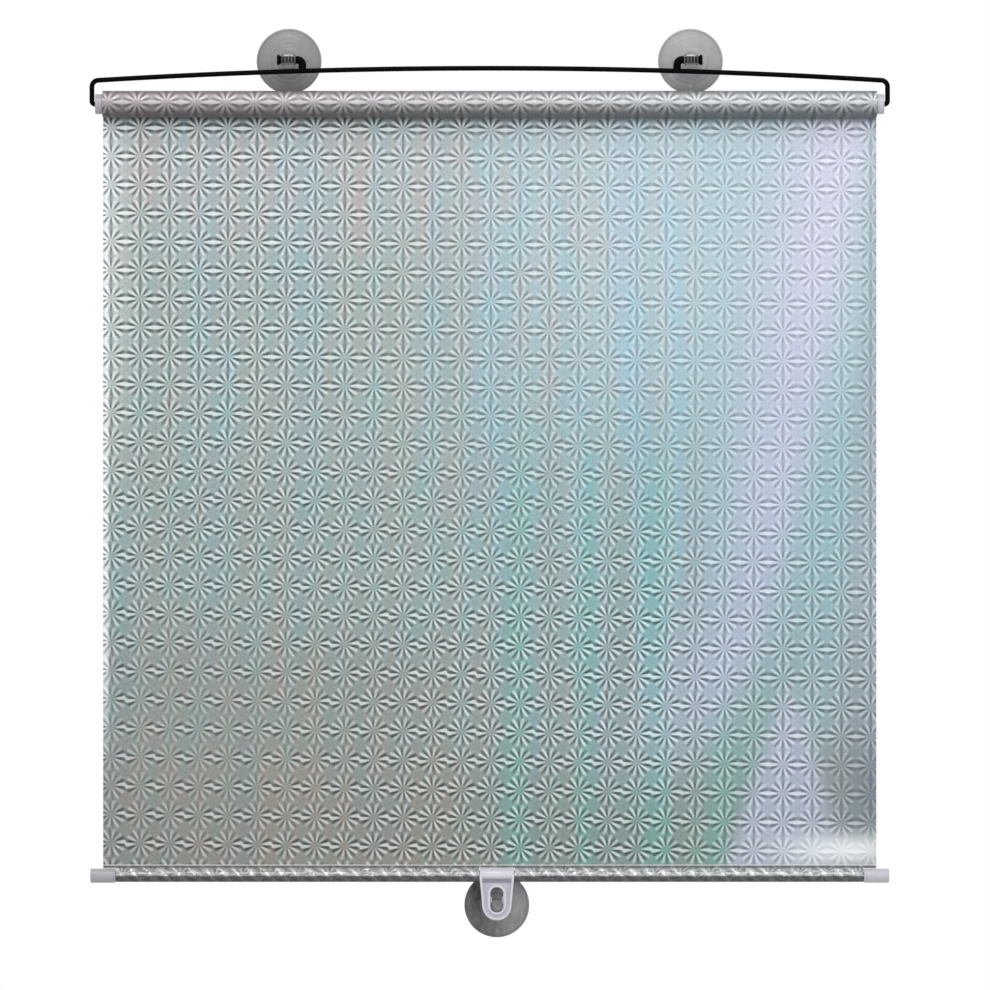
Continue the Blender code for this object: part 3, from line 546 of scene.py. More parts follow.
def film_tint(net, x, z):
    """The film's colour without its stars: silver that turns to teal, with lavender bands."""
    film = bpy.context.scene.blind_film
    height = net.smooth(z, -0.56, -0.02)
    left = net.ramp(height, (0.0, film.olive), (0.17, linear(149, 157, 152)), (0.40, film.mist), (0.84, linear(161, 178, 178)), (1.0, film.silver))
    right = net.ramp(height, (0.0, film.teal), (0.17, linear(150, 175, 182)), (0.45, film.lagoon), (1.0, film.ice))
    stretched = net.join(net.math("MULTIPLY", x, 48.0), net.math("MULTIPLY", z, 2.2), 0.0)
    streak = net.noise(stretched, 1.0, 3.0, 0.6)
    share = net.math("MULTIPLY_ADD", streak, 0.7, -0.35)
    share = net.math("ADD", net.smooth(x, -0.10, 0.14), share, clamp=True)
    colour = net.mix(share, left, right)
    fine = net.noise(net.join(net.math("MULTIPLY", x, 64.0), net.math("MULTIPLY", z, 20.0), 2.0), 1.0, 3.0, 0.65)
    warm = net.mix(net.smooth(fine, 0.35, 0.65), (1.06, 0.965, 0.98), (0.94, 1.02, 1.025))
    # Long streaks that fan out from the roll
    fan = net.math("DIVIDE", net.math("MULTIPLY", x, 62.0), net.math("MULTIPLY_ADD", z, -0.5, 1.0))
    long = net.noise(net.join(fan, net.math("MULTIPLY", z, 3.0), 5.0), 1.0, 2.0)
    cool = net.mix(net.smooth(long, 0.36, 0.64), (1.045, 0.985, 0.945), (0.95, 1.005, 1.05))
    streaked = net.mix(1.0, net.mix(1.0, colour, warm, "MULTIPLY"), cool, "MULTIPLY")
    colour = net.mix(net.smooth(x, 0.16, 0.10), colour, streaked)
    # Teal and brown streaks run up from the bar, right of the middle
    wave = net.math("COSINE", net.math("MULTIPLY", net.math("SUBTRACT", x, net.math(
        "MULTIPLY_ADD", net.math("SUBTRACT", streak, 0.5), 0.024, 0.0163)), TURN / 0.0455))
    zone = net.math("MULTIPLY", net.smooth(z, -0.20, -0.33), net.math(
        "MULTIPLY", net.smooth(x, -0.015, 0.015), net.smooth(x, 0.17, 0.14)
    ))
    teal = net.math("MULTIPLY", zone, net.math("MAXIMUM", wave, 0.0))
    colour = net.mix(net.math("MULTIPLY", teal, 0.52), colour, linear(118, 176, 168))
    brown = net.math("MULTIPLY", zone, net.math("MAXIMUM", net.math("MULTIPLY", wave, -1.0), 0.0))
    colour = net.mix(net.math("MULTIPLY", brown, 0.48), colour, linear(143, 158, 154))
    # Bright band, which leans and bends to the left further down
    bend = net.math("POWER", net.math("MAXIMUM", net.math("SUBTRACT", -0.31, z), 0.0), 2.0)
    middle = net.math("SUBTRACT", net.math("MULTIPLY_ADD", z, 0.195, 0.2405), net.math("MULTIPLY", bend, 1.5))
    offset = net.math("SUBTRACT", x, middle)
    offset = net.math("DIVIDE", offset, net.smooth(offset, -0.008, 0.008, 0.038, 0.018))
    band = net.math("EXPONENT", net.math("MULTIPLY", net.math("POWER", offset, 2.0), -1.0))
    band = net.math("MULTIPLY", band, net.smooth(z, -0.49, -0.38))
    lit = net.ramp(height, (0.0, film.periwinkle), (0.35, linear(176, 188, 208)), (0.62, linear(188, 195, 217)), (1.0, film.lavender))
    colour = net.mix(net.math("MULTIPLY", band, 0.92), colour, lit)
    # Lavender wedge that widens towards the bar, with a green streak on its left
    fall = net.math("SUBTRACT", -0.394, z)
    left_side = net.math("ADD", net.math("SUBTRACT", x, 0.1942), net.math("MULTIPLY", fall, 0.344))
    right_side = net.math("SUBTRACT", net.math("MULTIPLY_ADD", fall, 0.36, 0.1942), x)
    wedge = net.math("MULTIPLY", net.smooth(left_side, -0.006, 0.010), net.smooth(right_side, -0.006, 0.012))
    wedge = net.math("MULTIPLY", wedge, net.smooth(fall, -0.006, 0.03))
    green = net.math("DIVIDE", net.math("ADD", left_side, 0.013), 0.011)
    green = net.math("EXPONENT", net.math("MULTIPLY", net.math("POWER", green, 2.0), -1.0))
    green = net.math("MULTIPLY", green, net.smooth(fall, -0.02, 0.05))
    colour = net.mix(net.math("MULTIPLY", green, 0.5), colour, linear(128, 170, 162))
    colour = net.mix(net.math("MULTIPLY", wedge, 0.9), colour, linear(176, 184, 203))
    # Grey strips along both side edges
    edge = net.math("SUBTRACT", x, net.math("MULTIPLY_ADD", z, 0.07, 0.2535))
    edge = net.smooth(edge, -0.010, 0.010)
    strip_colour = net.ramp(height, (0.0, linear(143, 154, 162)), (0.4, linear(158, 172, 182)), (1.0, linear(156, 168, 180)))
    colour = net.mix(net.math("MULTIPLY", edge, 0.85), colour, strip_colour)
    margin = net.math("MULTIPLY", net.smooth(x, -0.2455, -0.2478), net.smooth(z, -0.47, -0.38))
    margin = net.math("MAXIMUM", net.math("MULTIPLY", margin, 0.9), net.math(
        "MULTIPLY", net.smooth(x, -0.225, -0.245), net.smooth(z, -0.36, -0.10, 0.0, 0.35)))
    return net.mix(margin, colour, linear(228, 230, 232))


def glossed(net, colour, shade, level, grain, power):
    """Lays the stars' light and dark over the film's tint."""
    up = net.math("MULTIPLY", net.math("MAXIMUM", shade, 0.0), net.math("MULTIPLY_ADD", level, 0.22, 0.66))
    down = net.math("MULTIPLY", net.math("MINIMUM", shade, 0.0), -0.80)
    white = net.mix(0.5, linear(246, 250, 250), net.mix(1.0, colour, (1.6, 1.6, 1.6), "MULTIPLY"))
    colour = net.mix(net.math("MULTIPLY", up, power), colour, white)
    colour = net.mix(net.math("MULTIPLY", down, power), colour, net.mix(0.78, colour, (0.022, 0.03, 0.03)))
    speck = net.math("MULTIPLY_ADD", grain, 0.7, 0.63)
    return net.mix(1.0, colour, net.join(speck, speck, speck), "MULTIPLY")


def glow(net, x, z, centre, spread):
    """A soft patch at a place on the film."""
    across = net.math("DIVIDE", net.math("SUBTRACT", x, centre[0]), spread[0])
    along = net.math("DIVIDE", net.math("SUBTRACT", z, centre[1]), spread[1])
    far = net.math("ADD", net.math("POWER", across, 2.0), net.math("POWER", along, 2.0))
    return net.math("EXPONENT", net.math("MULTIPLY", far, -1.0))


def star_film():
    """Drawn film, painted by its place at rest."""
    film = bpy.context.scene.blind_film
    net = Net("star_film")
    x, _, z = net.split(net.place())
    # A star's middle lies at this place on the sheet
    star_x, star_z = -0.22606, -0.0798
    finer = 1.0055
    u = net.math("MULTIPLY_ADD", x, finer, 0.5 * film.star_width - finer * star_x)
    v = net.math("MULTIPLY_ADD", net.math("SUBTRACT", x, star_x), film.print_slope, 0.5 * film.star_height - star_z)
    # The rows bow and fan a little, as the film hangs
    drop = net.math("SUBTRACT", z, IMAGE_CENTRE[1])
    bow = net.math("ADD", net.math("MULTIPLY_ADD", x, -0.0130, 0.0017), net.math("MULTIPLY", drop, 0.0122))
    v = net.math("ADD", net.math("ADD", z, v), net.math("MULTIPLY_ADD", drop, bow, -0.00086))
    turned = net.math("MULTIPLY", net.smooth(z, -0.17, -0.30), net.smooth(x, 0.20, 0.05))
    calm = net.math("MULTIPLY", glow(net, x, z, (-0.195, -0.445), (0.11, 0.085)), 0.5)
    slant = net.math("MULTIPLY_ADD", turned, 0.22, 0.12)
    shade, level = star_shade(net, u, v, net.math("MULTIPLY", turned, -0.125), calm, slant)
    above = net.math("MULTIPLY", net.smooth(x, -0.15, 0.03, 1.0, 0.68), net.smooth(x, 0.03, 0.17, 1.0, 0.75))
    below = net.smooth(x, 0.09, 0.17, 1.05, 0.80)
    power = net.math("MULTIPLY", net.mixed(net.smooth(z, -0.20, -0.40), above, below),
                     net.math("MULTIPLY_ADD", calm, -0.3, 1.0))
    # The stars stand out more just under the roll, as part of the painted shadow there
    power = net.math("ADD", power, net.smooth(z, -0.048, -0.040, 0.0, 0.5))
    grain = net.noise(net.place(), 900.0, 2.0, 0.7)
    colour = glossed(net, film_tint(net, x, z), shade, level, grain, power)
    # Painted shadow of the roll across the top of the sheet
    painted_roll_shadow = net.smooth(z, -0.0372, -0.0430, 0.42, 1.0)
    colour = net.mix(1.0, colour, net.join(painted_roll_shadow, painted_roll_shadow, painted_roll_shadow), "MULTIPLY")
    # A brown patch, painted shade where the film bends at the right edge, and a painted glare near the lower right
    # corner
    dun = net.math("MULTIPLY", glow(net, x, z, (0.2230, -0.4640), (0.012, 0.022)), 0.4)
    colour = net.mix(dun, colour, linear(140, 136, 132))
    bend = net.math("MULTIPLY", glow(net, x, z, (0.2475, -0.472), (0.016, 0.034)), 0.6)
    colour = net.mix(bend, colour, linear(112, 122, 128))
    glare = net.math("MULTIPLY", glow(net, x, z, (0.232, -0.5105), (0.040, 0.0095)), 0.8)
    colour = net.mix(glare, colour, (0.94, 0.96, 0.98))
    net.bump(shade, 0.2, 0.0003)
    return net.surface(colour, 0.33, Metallic=0.25, Specular_IOR_Level=0.2)


def wound_film():
    """Film on the roll, painted by its flat size."""
    film = bpy.context.scene.blind_film
    net = Net("star_film_wound")
    u, v, _ = net.split(net.node("UVMap", uv_map="film").outputs[0])
    shade, level = star_shade(net, net.math("ADD", u, 0.5 * film.star_width + 0.2276), v)
    grain = net.noise(net.place(), 900.0, 2.0, 0.7)
    tint = net.mix(net.smooth(u, -0.25, 0.25), linear(176, 166, 169), linear(190, 196, 199))
    colour = glossed(net, tint, shade, net.math("MULTIPLY", level, 0.0), grain, 0.74)
    # Painted shade by which way the roll's skin faces: darker underneath and somewhat darker on top
    lie = net.split(net.node("NewGeometry").outputs["Normal"])[2]
    painted_roll_shade = net.math("MULTIPLY", net.smooth(lie, -0.85, 0.35, 0.40, 1.0), net.smooth(lie, 0.62, 0.97, 1.0, 0.50))
    colour = net.mix(1.0, colour, net.join(painted_roll_shade, painted_roll_shade, painted_roll_shade), "MULTIPLY")
    net.bump(shade, 0.2, 0.0003)
    return net.surface(colour, 0.38, Metallic=0.2, Specular_IOR_Level=0.08)


def hem_film():
    """Creased film round the bar, with painted glints above and painted shade on the underside."""
    film = bpy.context.scene.blind_film
    net = Net("star_film_hem")
    x, _, z = net.split(net.place())
    u, v, _ = net.split(net.node("UVMap", uv_map="film").outputs[0])
    wander = net.math("MULTIPLY_ADD", net.noise(net.place(), 55.0, 2.0), 0.012, -0.006)
    shade, level = star_shade(net, net.math("ADD", u, wander), net.math("ADD", v, wander), 0.5)
    grain = net.noise(net.place(), 900.0, 2.0, 0.7)
    tint = net.mix(net.smooth(x, -0.25, 0.25), linear(164, 162, 161), linear(176, 181, 183))
    colour = glossed(net, tint, shade, level, grain, 0.5)
    # One slanting painted glint for every star, with darker ticks between them, over a blotched band
    slant = net.math("MULTIPLY_ADD", net.math("SUBTRACT", z, CLIP_AXIS.z), 0.9, x)
    slant = net.math("ADD", slant, net.math("MULTIPLY", wander, 0.35))
    tick = net.math("COSINE", net.math("MULTIPLY", slant, 2 * TURN / film.star_width))
    blotch = net.noise(net.join(x, 0.0, z), 420.0, 2.0)
    painted_glint = net.math("MULTIPLY", net.smooth(tick, 0.35, 0.95), net.smooth(blotch, 0.38, 0.60))
    colour = net.mix(net.math("MULTIPLY", painted_glint, 0.8), colour, (0.92, 0.93, 0.93))
    dull = net.math("MULTIPLY", net.smooth(tick, -0.3, -0.9), net.smooth(blotch, 0.52, 0.40))
    colour = net.mix(net.math("MULTIPLY", dull, 0.55), colour, linear(96, 98, 96))
    # Painted shade on the underside of the hem
    under = net.smooth(z, CLIP_AXIS.z + 0.0006, CLIP_AXIS.z - 0.0005, 0.0, 0.82)
    colour = net.mix(under, colour, linear(70, 70, 72))
    # Painted shade in a band along the top of the hem, broken up by blotches
    painted_fold_shade = net.math("MULTIPLY", net.smooth(z, CLIP_AXIS.z + 0.0044, CLIP_AXIS.z + 0.0052),
                    net.smooth(blotch, 0.30, 0.52, 0.35, 0.8))
    colour = net.mix(painted_fold_shade, colour, linear(92, 94, 92))
    net.bump(shade, 0.25, 0.0003)
    return net.surface(colour, 0.33, Metallic=0.25, Specular_IOR_Level=0.2)


def soft_vinyl(name, colour, clear, centre, gate, side_light=0.0, knob=False):
    """See-through grey vinyl with faint rings; its knob is clear enough to show the peg."""
    net = Net(name)
    moved = net.node("Mapping")
    moved.inputs["Location"].default_value = -centre
    net.put(moved.inputs["Vector"], net.place())
    x, y, z = net.split(moved.outputs[0])
    radius = net.math("SQRT", net.math("ADD", net.math("POWER", x, 2.0), net.math("POWER", z, 2.0)))
    cloud = net.noise(moved.outputs[0], 170.0, 3.0)
    rings = net.noise(net.join(net.math("MULTIPLY", radius, 900.0), 0.0, 0.0), 1.0, 2.0)
    mottle = net.math("MULTIPLY_ADD", cloud, 0.30, net.math("MULTIPLY_ADD", rings, 0.34, 0.68))
    # Painted light: one side lighter and the other darker, by side_light
    mottle = net.math("ADD", mottle, net.math("MULTIPLY", net.smooth(x, -0.014, 0.014, -1.0, 1.0), side_light))
    if not knob:
        # Swirled, with a painted shadow beside the clip
        swirl = net.noise(net.join(net.math("MULTIPLY", x, 260.0), net.math("MULTIPLY", z, 110.0), radius), 1.0, 3.0)
        mottle = net.math("MULTIPLY_ADD", net.math("SUBTRACT", swirl, 0.5), 1.2, mottle)
        mottle = net.math("MULTIPLY_ADD", glow(net, x, z, (-0.0125, 0.006), (0.0045, 0.012)), -0.45, mottle)
    spot = glow(net, x, z, (0.0, gate * 0.0163), (0.0010, 0.0010))
    mottle = net.math("MULTIPLY_ADD", spot, 0.5, mottle)
    shade = net.mix(1.0, tuple(colour), net.join(mottle, mottle, mottle), "MULTIPLY")
    rim = net.math("MULTIPLY", net.smooth(radius, 0.0188, 0.0196), net.smooth(radius, 0.0206, 0.0200))
    shade = net.mix(net.math("MULTIPLY", rim, 0.45), shade, tuple(0.45 * c for c in colour))
    see = clear
    rough = 0.32
    if knob:
        inside = net.math("MULTIPLY", net.smooth(radius, 0.0066, 0.0052), net.smooth(y, -0.0100, -0.0125))
        see = net.math("MULTIPLY_ADD", inside, 0.97 - clear, clear)
        rough = net.math("MULTIPLY_ADD", inside, -0.24, 0.32)
        shade = net.mix(inside, shade, (0.86, 0.86, 0.87))
        # The black peg seen through the knob, painted on its surface, broken up by painted glints where the ribs in
        # front of it catch the light
        peg = net.math("MULTIPLY", inside, net.smooth(net.math("ABSOLUTE", z), 0.0026, 0.0019))
        rib_glint = net.smooth(net.math("COSINE", net.math("MULTIPLY", x, TURN / 0.0021)), 0.3, 0.95)
        shade = net.mix(peg, shade, net.mix(rib_glint, (0.004, 0.004, 0.004), (0.20, 0.20, 0.21)))
        see = net.math("MULTIPLY_ADD", peg, -0.75, see)
        rough = net.math("MULTIPLY_ADD", peg, 0.3, rough)
    net.put(net.shader.inputs["Transmission Weight"], see)
    net.bump(net.noise(moved.outputs[0], 900.0, 2.0), 0.06, 0.0003)
    return net.surface(shade, rough, IOR=1.4, Specular_IOR_Level=0.35)


def coated_wire():
    net = Net("black_coated_wire")
    place = net.place()
    colour = bpy.context.scene.blind_hardware.wire_colour
    shade = net.mix(net.noise(place, 500.0, 3.0), tuple(0.7 * c for c in colour), tuple(1.4 * c for c in colour))
    net.bump(net.noise(place, 1500.0, 3.0), 0.12, 0.0003)
    return net.surface(shade, 0.55, Specular_IOR_Level=0.04)


def moulded_plastic(name, colour, clear=0.0, roughness=0.38):
    net = Net(name)
    place = net.place()
    shade = net.mix(net.noise(place, 320.0, 2.0), tuple(0.93 * c for c in colour), tuple(min(1, 1.05 * c) for c in colour))
    # Painted light: brighter towards the right end of the blind
    lit = net.smooth(net.split(place)[0], 0.0, 0.24, 1.0, 1.36)
    shade = net.mix(1.0, shade, net.join(lit, lit, lit), "MULTIPLY")
    net.bump(net.noise(place, 2200.0, 2.0), 0.06, 0.0003)
    return net.surface(shade, roughness, Transmission_Weight=clear, IOR=1.49, Coat_Weight=0.15)


def clip_plastic(colour):
    """Lilac plastic, paler where its rims catch the light: painted highlights on its raised rims, along its sides and
    on the top of its barrel, and a painted shadow below the barrel.
    """
    net = Net("clear_lilac_plastic")
    place = net.place()
    x, y, z = net.split(place)
    shade = net.mix(net.noise(place, 320.0, 2.0), tuple(0.92 * c for c in colour), tuple(min(1, 1.06 * c) for c in colour))
    # Painted highlight on the raised front rims
    front = CLIP_AXIS.y - 0.0043
    shade = net.mix(net.smooth(y, front - 0.0002, front - 0.0006, 0.0, 0.85), shade, (0.86, 0.85, 0.9))
    side = net.math("ABSOLUTE", net.math("SUBTRACT", x, CLIP_AXIS.x))
    # Painted shadow in the groove below the barrel
    painted_crease_shade = net.math("MULTIPLY", net.smooth(z, CLIP_AXIS.z - 0.0014, CLIP_AXIS.z - 0.0024),
                      net.smooth(z, CLIP_AXIS.z - 0.0048, CLIP_AXIS.z - 0.0044))
    painted_crease_shade = net.math("MULTIPLY", painted_crease_shade, net.smooth(side, 0.0096, 0.0090))
    shade = net.mix(net.math("MULTIPLY", painted_crease_shade, 0.8), shade, linear(144, 140, 156))
    # Painted highlight along the top of the barrel
    barrel = net.smooth(z, CLIP_AXIS.z - 0.0012, CLIP_AXIS.z + 0.0012)
    shade = net.mix(net.math("MULTIPLY", barrel, 0.8), shade, linear(238, 238, 246))
    # Painted highlight along both sides of the clip
    shade = net.mix(net.smooth(side, 0.0095, 0.0102, 0.0, 0.7), shade, (0.86, 0.85, 0.9))
    net.bump(net.noise(place, 2200.0, 2.0), 0.06, 0.0003)
    return net.surface(shade, 0.25, Transmission_Weight=0.12, IOR=1.45, Coat_Weight=0.15)


def plain_steel():
    net = Net("plain_steel")
    x, y, z = net.split(net.place())
    brushed = net.noise(net.join(net.math("MULTIPLY", x, 30.0), y, z), 900.0, 4.0)
    shade = net.mix(brushed, (0.36, 0.36, 0.37), (0.62, 0.62, 0.63))
    net.bump(brushed, 0.1, 0.0002)
    return net.surface(shade, net.math("MULTIPLY_ADD", brushed, 0.2, 0.26), Metallic=1.0)


# ---- pieces


class BLIND_OT_film(bpy.types.Operator):
    """Make the drawn sheet, the turns on the roller and the hem"""

    bl_idname = "blind.film"
    bl_label = "Film"

    def execute(self, context):
        drawn = star_film()
        drawn_sheet(drawn)
        sheet_lead(drawn)
        turns_on_roller(wound_film())
        hem_round_bar(hem_film())
        return {"FINISHED"}


def thicken(made):
    shell = made.modifiers.new("Thickness", "SOLIDIFY")
    shell.thickness = FILM_THICKNESS
    shell.offset = 0
    shell.use_even_offset = True
    return settle(made)


def drawn_sheet(finish):
    """The straight part of the film, from where it leaves the roll down to the hem."""
    y = ROLLER_AXIS.y + SHEET_RADIUS
    high, low = ROLLER_AXIS.z, SHEET_LOW
    rows = 120
    path = [(y, high + (low - high) * i / rows) for i in range(rows + 1)]
    shape = strip(path, 100)
    for vert in shape.verts:
        down = (high - vert.co.z) / (high - low)
        hold = math.sin(math.pi * down) ** 0.6 if 0 < down < 1 else 0
        x = vert.co.x
        wave = 0.5 * math.sin(9 * x + 1.3) + 0.35 * math.sin(23 * x + 4 * down)
        curl = max(0, (x - 0.19) / 0.06) ** 2 * max(0, down - 0.6)
        vert.co.y += hold * (0.0005 * wave - 0.0018 * curl)
    made = thicken(mesh_object("drawn_film", shape))
    dress(made, "bail", finish, ["film_sheet"])
    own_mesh(made)
    return made


def sheet_lead(finish):
    """The short lead of film that leaves the back of the roll."""
    ring = arc(SHEET_RADIUS, SHEET_WRAP, 0, 16, (ROLLER_AXIS.y, ROLLER_AXIS.z))
    made = thicken(mesh_object("film_lead", strip(ring)))
    return dress(made, "bail", finish, ["film_sheet"])


def turns_on_roller(finish):
    """The film left on the tube, one spiral."""
    steps = 96
    path = []
    for i in range(ROLL_TURNS * steps + 1):
        radius = ROLL_RADIUS - ROLL_PITCH * i / steps
        path.append(polar(radius, SHEET_WRAP + TURN * i / steps, (ROLLER_AXIS.y, ROLLER_AXIS.z)))
    made = thicken(mesh_object("film_turns", strip(path, 1, 0.0080)))
    return dress(made, "roller", finish, ["film_roll"])


def hem_round_bar(finish):
    """The film's lower end, folded round the bar and welded above it."""
    bar, point, seam, ply = 0.003925, 0.0056, 0.0067, 0.00015
    y0, z0 = CLIP_AXIS.y, CLIP_AXIS.z
    leave = math.acos(bar / point)
    top = math.pi / 2
    loop = arc(bar, top + leave, top + TURN - leave, 64)
    path = [(-ply, seam), (-ply, point), *loop, (ply, point), (ply, seam)]
    made = thicken(mesh_object("film_hem_sleeve", strip([(y0 + y, z0 + z) for y, z in path], 1, 0.002)))
    deep = 0.012
    cuts = []
    for side in (-1, 1):
        cuts.append((side * 0.2417, side * 0.2503, 0.0049))
    cuts.append((CLIP_AXIS.x - 0.01145, CLIP_AXIS.x + 0.01145, 0.0051))
    shapes = []
    for first, second, height in cuts:
        box = [(min(first, second), y0 - deep), (max(first, second), y0 - deep),
               (max(first, second), y0 + deep), (min(first, second), y0 + deep)]
        shapes.append(prism(box, z0 - deep, z0 + height))
    carve(made, "DIFFERENCE", *shapes)
    return dress(made, "bar", finish, ["film_hem"])


class BLIND_OT_bail(bpy.types.Operator):
    """Make the black wire bail and its pegs"""

    bl_idname = "blind.bail"
    bl_label = "Wire bail"

    def execute(self, context):
        wire = context.scene.blind_hardware.wire_radius
        low, leg, pin = ROLLER_AXIS.z, 0.2569, 0.2482
        corners = [((-pin, 0, low), 0), ((-leg, 0, low), 0.002)]
        bow = 97
        for i in range(bow):
            x = leg * (2 * i / (bow - 1) - 1)
            corners.append(((x, 0, bow_height(x, leg)), 0.0042 if i in (0, bow - 1) else 0))
        corners += [((leg, 0, low), 0.002), ((pin, 0, low), 0)]
        made = mesh_object("bail_wire", swept(bent(corners), wire))
        shapes = []
        for side in (-1, 1):
            root, end = side * 0.121, 0.1354
            foot = bow_height(root, leg) - wire / 2
            tip = side * (end + 0.001)
            shapes.append(swept(bent([((root, 0, foot), 0), ((root, 0, 0), 0.0032), ((tip, 0, 0), 0)]), 0.0025))
            flange = spun([(0, end + 0.002), (0.0029, end + 0.002), (0.0033, end + 0.0016),
                           (0.0033, end + 0.0004), (0.0029, end), (0, end)], 48)
            shapes.append(move(flange, Matrix.Rotation(side * math.pi / 2, 4, "Y")))
        carve(made, "UNION", *shapes)
        made.data.transform(Matrix.Translation((0, BAIL_AXIS.y, 0)))
        dress(made, "bail", coated_wire(), ["wire_bail"])
        return {"FINISHED"}


def bow_height(x, leg):
    return -0.0054 - 0.008 * (x / leg) ** 2


def cup_section(stem, stem_radius, radius):
    """Half section of a cup under its stem, from the stem's top round to the hollow's middle."""
    seal, lip, depth, crown, flare = radius - 0.002, 0.0009, 0.0055, 0.0024, 1.5

    def hollow(r):
        return depth * (1 - min(1, r / seal) ** flare)

    def skin(r):
        ripple = 0.00016 * math.cos(TURN * r / 0.0034) * max(0, 1 - (r / radius) ** 6)
        step = 0.0005 * max(0, min(1, (0.0122 - r) / 0.0004))
        return hollow(r) + lip + (crown - lip) * (1 - (r / radius) ** 2) + step + ripple

    foot = skin(stem_radius + 0.0012)
    outside = [polar(0.0012, math.pi + k * math.pi / 8, (stem_radius + 0.0012, foot + 0.0012)) for k in range(5)]
    steps = 56
    start = stem_radius + 0.0016
    outside += [(r, skin(r)) for r in (start + (seal - start) * i / steps for i in range(steps + 1))]
    outside += [(seal + 0.0007, lip + 0.0002), (seal + 0.0014, lip), (radius - 0.0002, lip - 0.0002),
                (radius, lip - 0.0005), (radius, 0.0001), (radius - 0.0001, 0)]
    inside = [(seal * (1 - i / 24), hollow(seal * (1 - i / 24))) for i in range(25)]
    return stem + outside + inside


class BLIND_OT_upper_cups(bpy.types.Operator):
    """Make the two cups that hang the bail on the glass"""

    bl_idname = "blind.upper_cups"
    bl_label = "Upper cups"

    def execute(self, context):
        cups = context.scene.blind_cups
        height = -BAIL_AXIS.y
        knob_radius = 0.0054
        knob = arc(knob_radius, math.pi / 2, -math.pi / 4, 24, (0, height))
        knob[0] = (0, height + knob_radius)
        for side, name in ((-1, "top_cup_left"), (1, "top_cup_right")):
            shape = spun(cup_section(knob, 0.0042, cups.radius), 128)
            for vert in shape.verts:
                if vert.co.z > height:
                    vert.co.z -= 0.0003 * (1 - math.cos(TURN * vert.co.x / 0.0021)) * (vert.co.z - height) / knob_radius
            turn = Matrix.Rotation(math.pi / 2, 4, "X")
            made = mesh_object(f"upper_cup_{'left' if side < 0 else 'right'}", shape)
            hole = move(rod(0.0028, -0.021, 0.021), Matrix.Translation((0, 0, height)) @ Matrix.Rotation(math.pi / 2, 4, "Y"))
            dot = bmesh.new()
            bmesh.ops.create_uvsphere(dot, u_segments=24, v_segments=12, radius=0.0006)
            spot = 0.0163
            move(dot, Matrix.Translation((0, -side * spot, 0.0027)) @ Matrix.Diagonal((1, 1, 0.8, 1)))
            carve(made, "DIFFERENCE", hole)
            carve(made, "UNION", dot)
            place = Vector((CUP_PLACES[name].x, 0, CUP_PLACES[name].z))
            made.data.transform(Matrix.Translation(place) @ turn)
            # The left cup gets a darker copy of the vinyl colour, painted shade
            painted_shade_tone = [c * (0.74 if side < 0 else 1) for c in cups.upper_colour]
            finish = soft_vinyl(f"{made.name}_vinyl", painted_shade_tone, 0.3, place, -side, knob=True)
            dress(made, "top_cups", finish, [name], 40)
        return {"FINISHED"}


class BLIND_OT_lower_cup(bpy.types.Operator):
    """Make the cup whose button slides in the clip"""

    bl_idname = "blind.lower_cup"
    bl_label = "Lower cup"

    def execute(self, context):
        cups = context.scene.blind_cups
        place = Vector((CUP_PLACES["bottom_cup"].x, 0, CUP_PLACES["bottom_cup"].z))
        finish = soft_vinyl("lower_cup_vinyl", tuple(cups.lower_colour), 0.45, place, -1, 0.34)
        to_glass = -CLIP_AXIS.y
        collar, under, top = to_glass + 0.0022, to_glass + 0.0037, to_glass + 0.0057
        edge = arc(0.0008, math.pi / 2, 0, 8, (0.0032, top - 0.0008))
        stem = [(0, top), *edge, (0.004, under + 0.0002), (0.0038, under), (0.0028, under), (0.0028, collar),
                (0.0040, collar), (0.0042, collar - 0.0002)]
        made = mesh_object("lower_cup", spun(cup_section(stem, 0.0042, cups.radius), 128))
        dot = bmesh.new()
        bmesh.ops.create_uvsphere(dot, u_segments=24, v_segments=12, radius=0.0006)
        carve(made, "UNION", move(dot, Matrix.Translation((0, -0.0163, 0.0027)) @ Matrix.Diagonal((1, 1, 0.8, 1))))
        made.data.transform(Matrix.Translation(place) @ Matrix.Rotation(math.pi / 2, 4, "X"))
        dress(made, "lower_cup", finish, ["bottom_cup"], 40)
        return {"FINISHED"}


class BLIND_OT_plugs(bpy.types.Operator):
    """Make the roller's idle end plug, and finish its ratchet plug and what turns inside it"""

    bl_idname = "blind.plugs"
    bl_label = "Plugs and mechanism"

    def execute(self, context):
        colour = tuple(context.scene.blind_hardware.plastic_colour)
        plastic = moulded_plastic("pale_plastic", colour)
        steel = plain_steel()
        outer, inner, body, plug_end = 0.2547, 0.2503, 0.00595, 0.234
        edge = arc(0.0006, 0, math.pi / 2, 6, (0.0059, outer - 0.0006))[::-1]
        flange = [*edge, (0.0065, inner), (body, inner), (body, plug_end)]
        idle = [(0, 0.2479), (0.0019, 0.2479), (0.0019, outer), *flange, (0, plug_end)]
        made = mesh_object("left_plug", move(spun(idle, 64), Matrix.Translation(ROLLER_AXIS) @ Matrix.Rotation(-math.pi / 2, 4, "Y")))
        dress(made, "roller", plastic, ["idle_plug"])
        repaint(plastic, "ratchet_plug", "spring_mandrel", "spring_anchor")
        repaint(steel, "roller_tube", "ratchet_shaft", "torsion_spring", "pawl_upper", "pawl_lower",
                "pawl_pin_upper", "pawl_pin_lower")
        return {"FINISHED"}


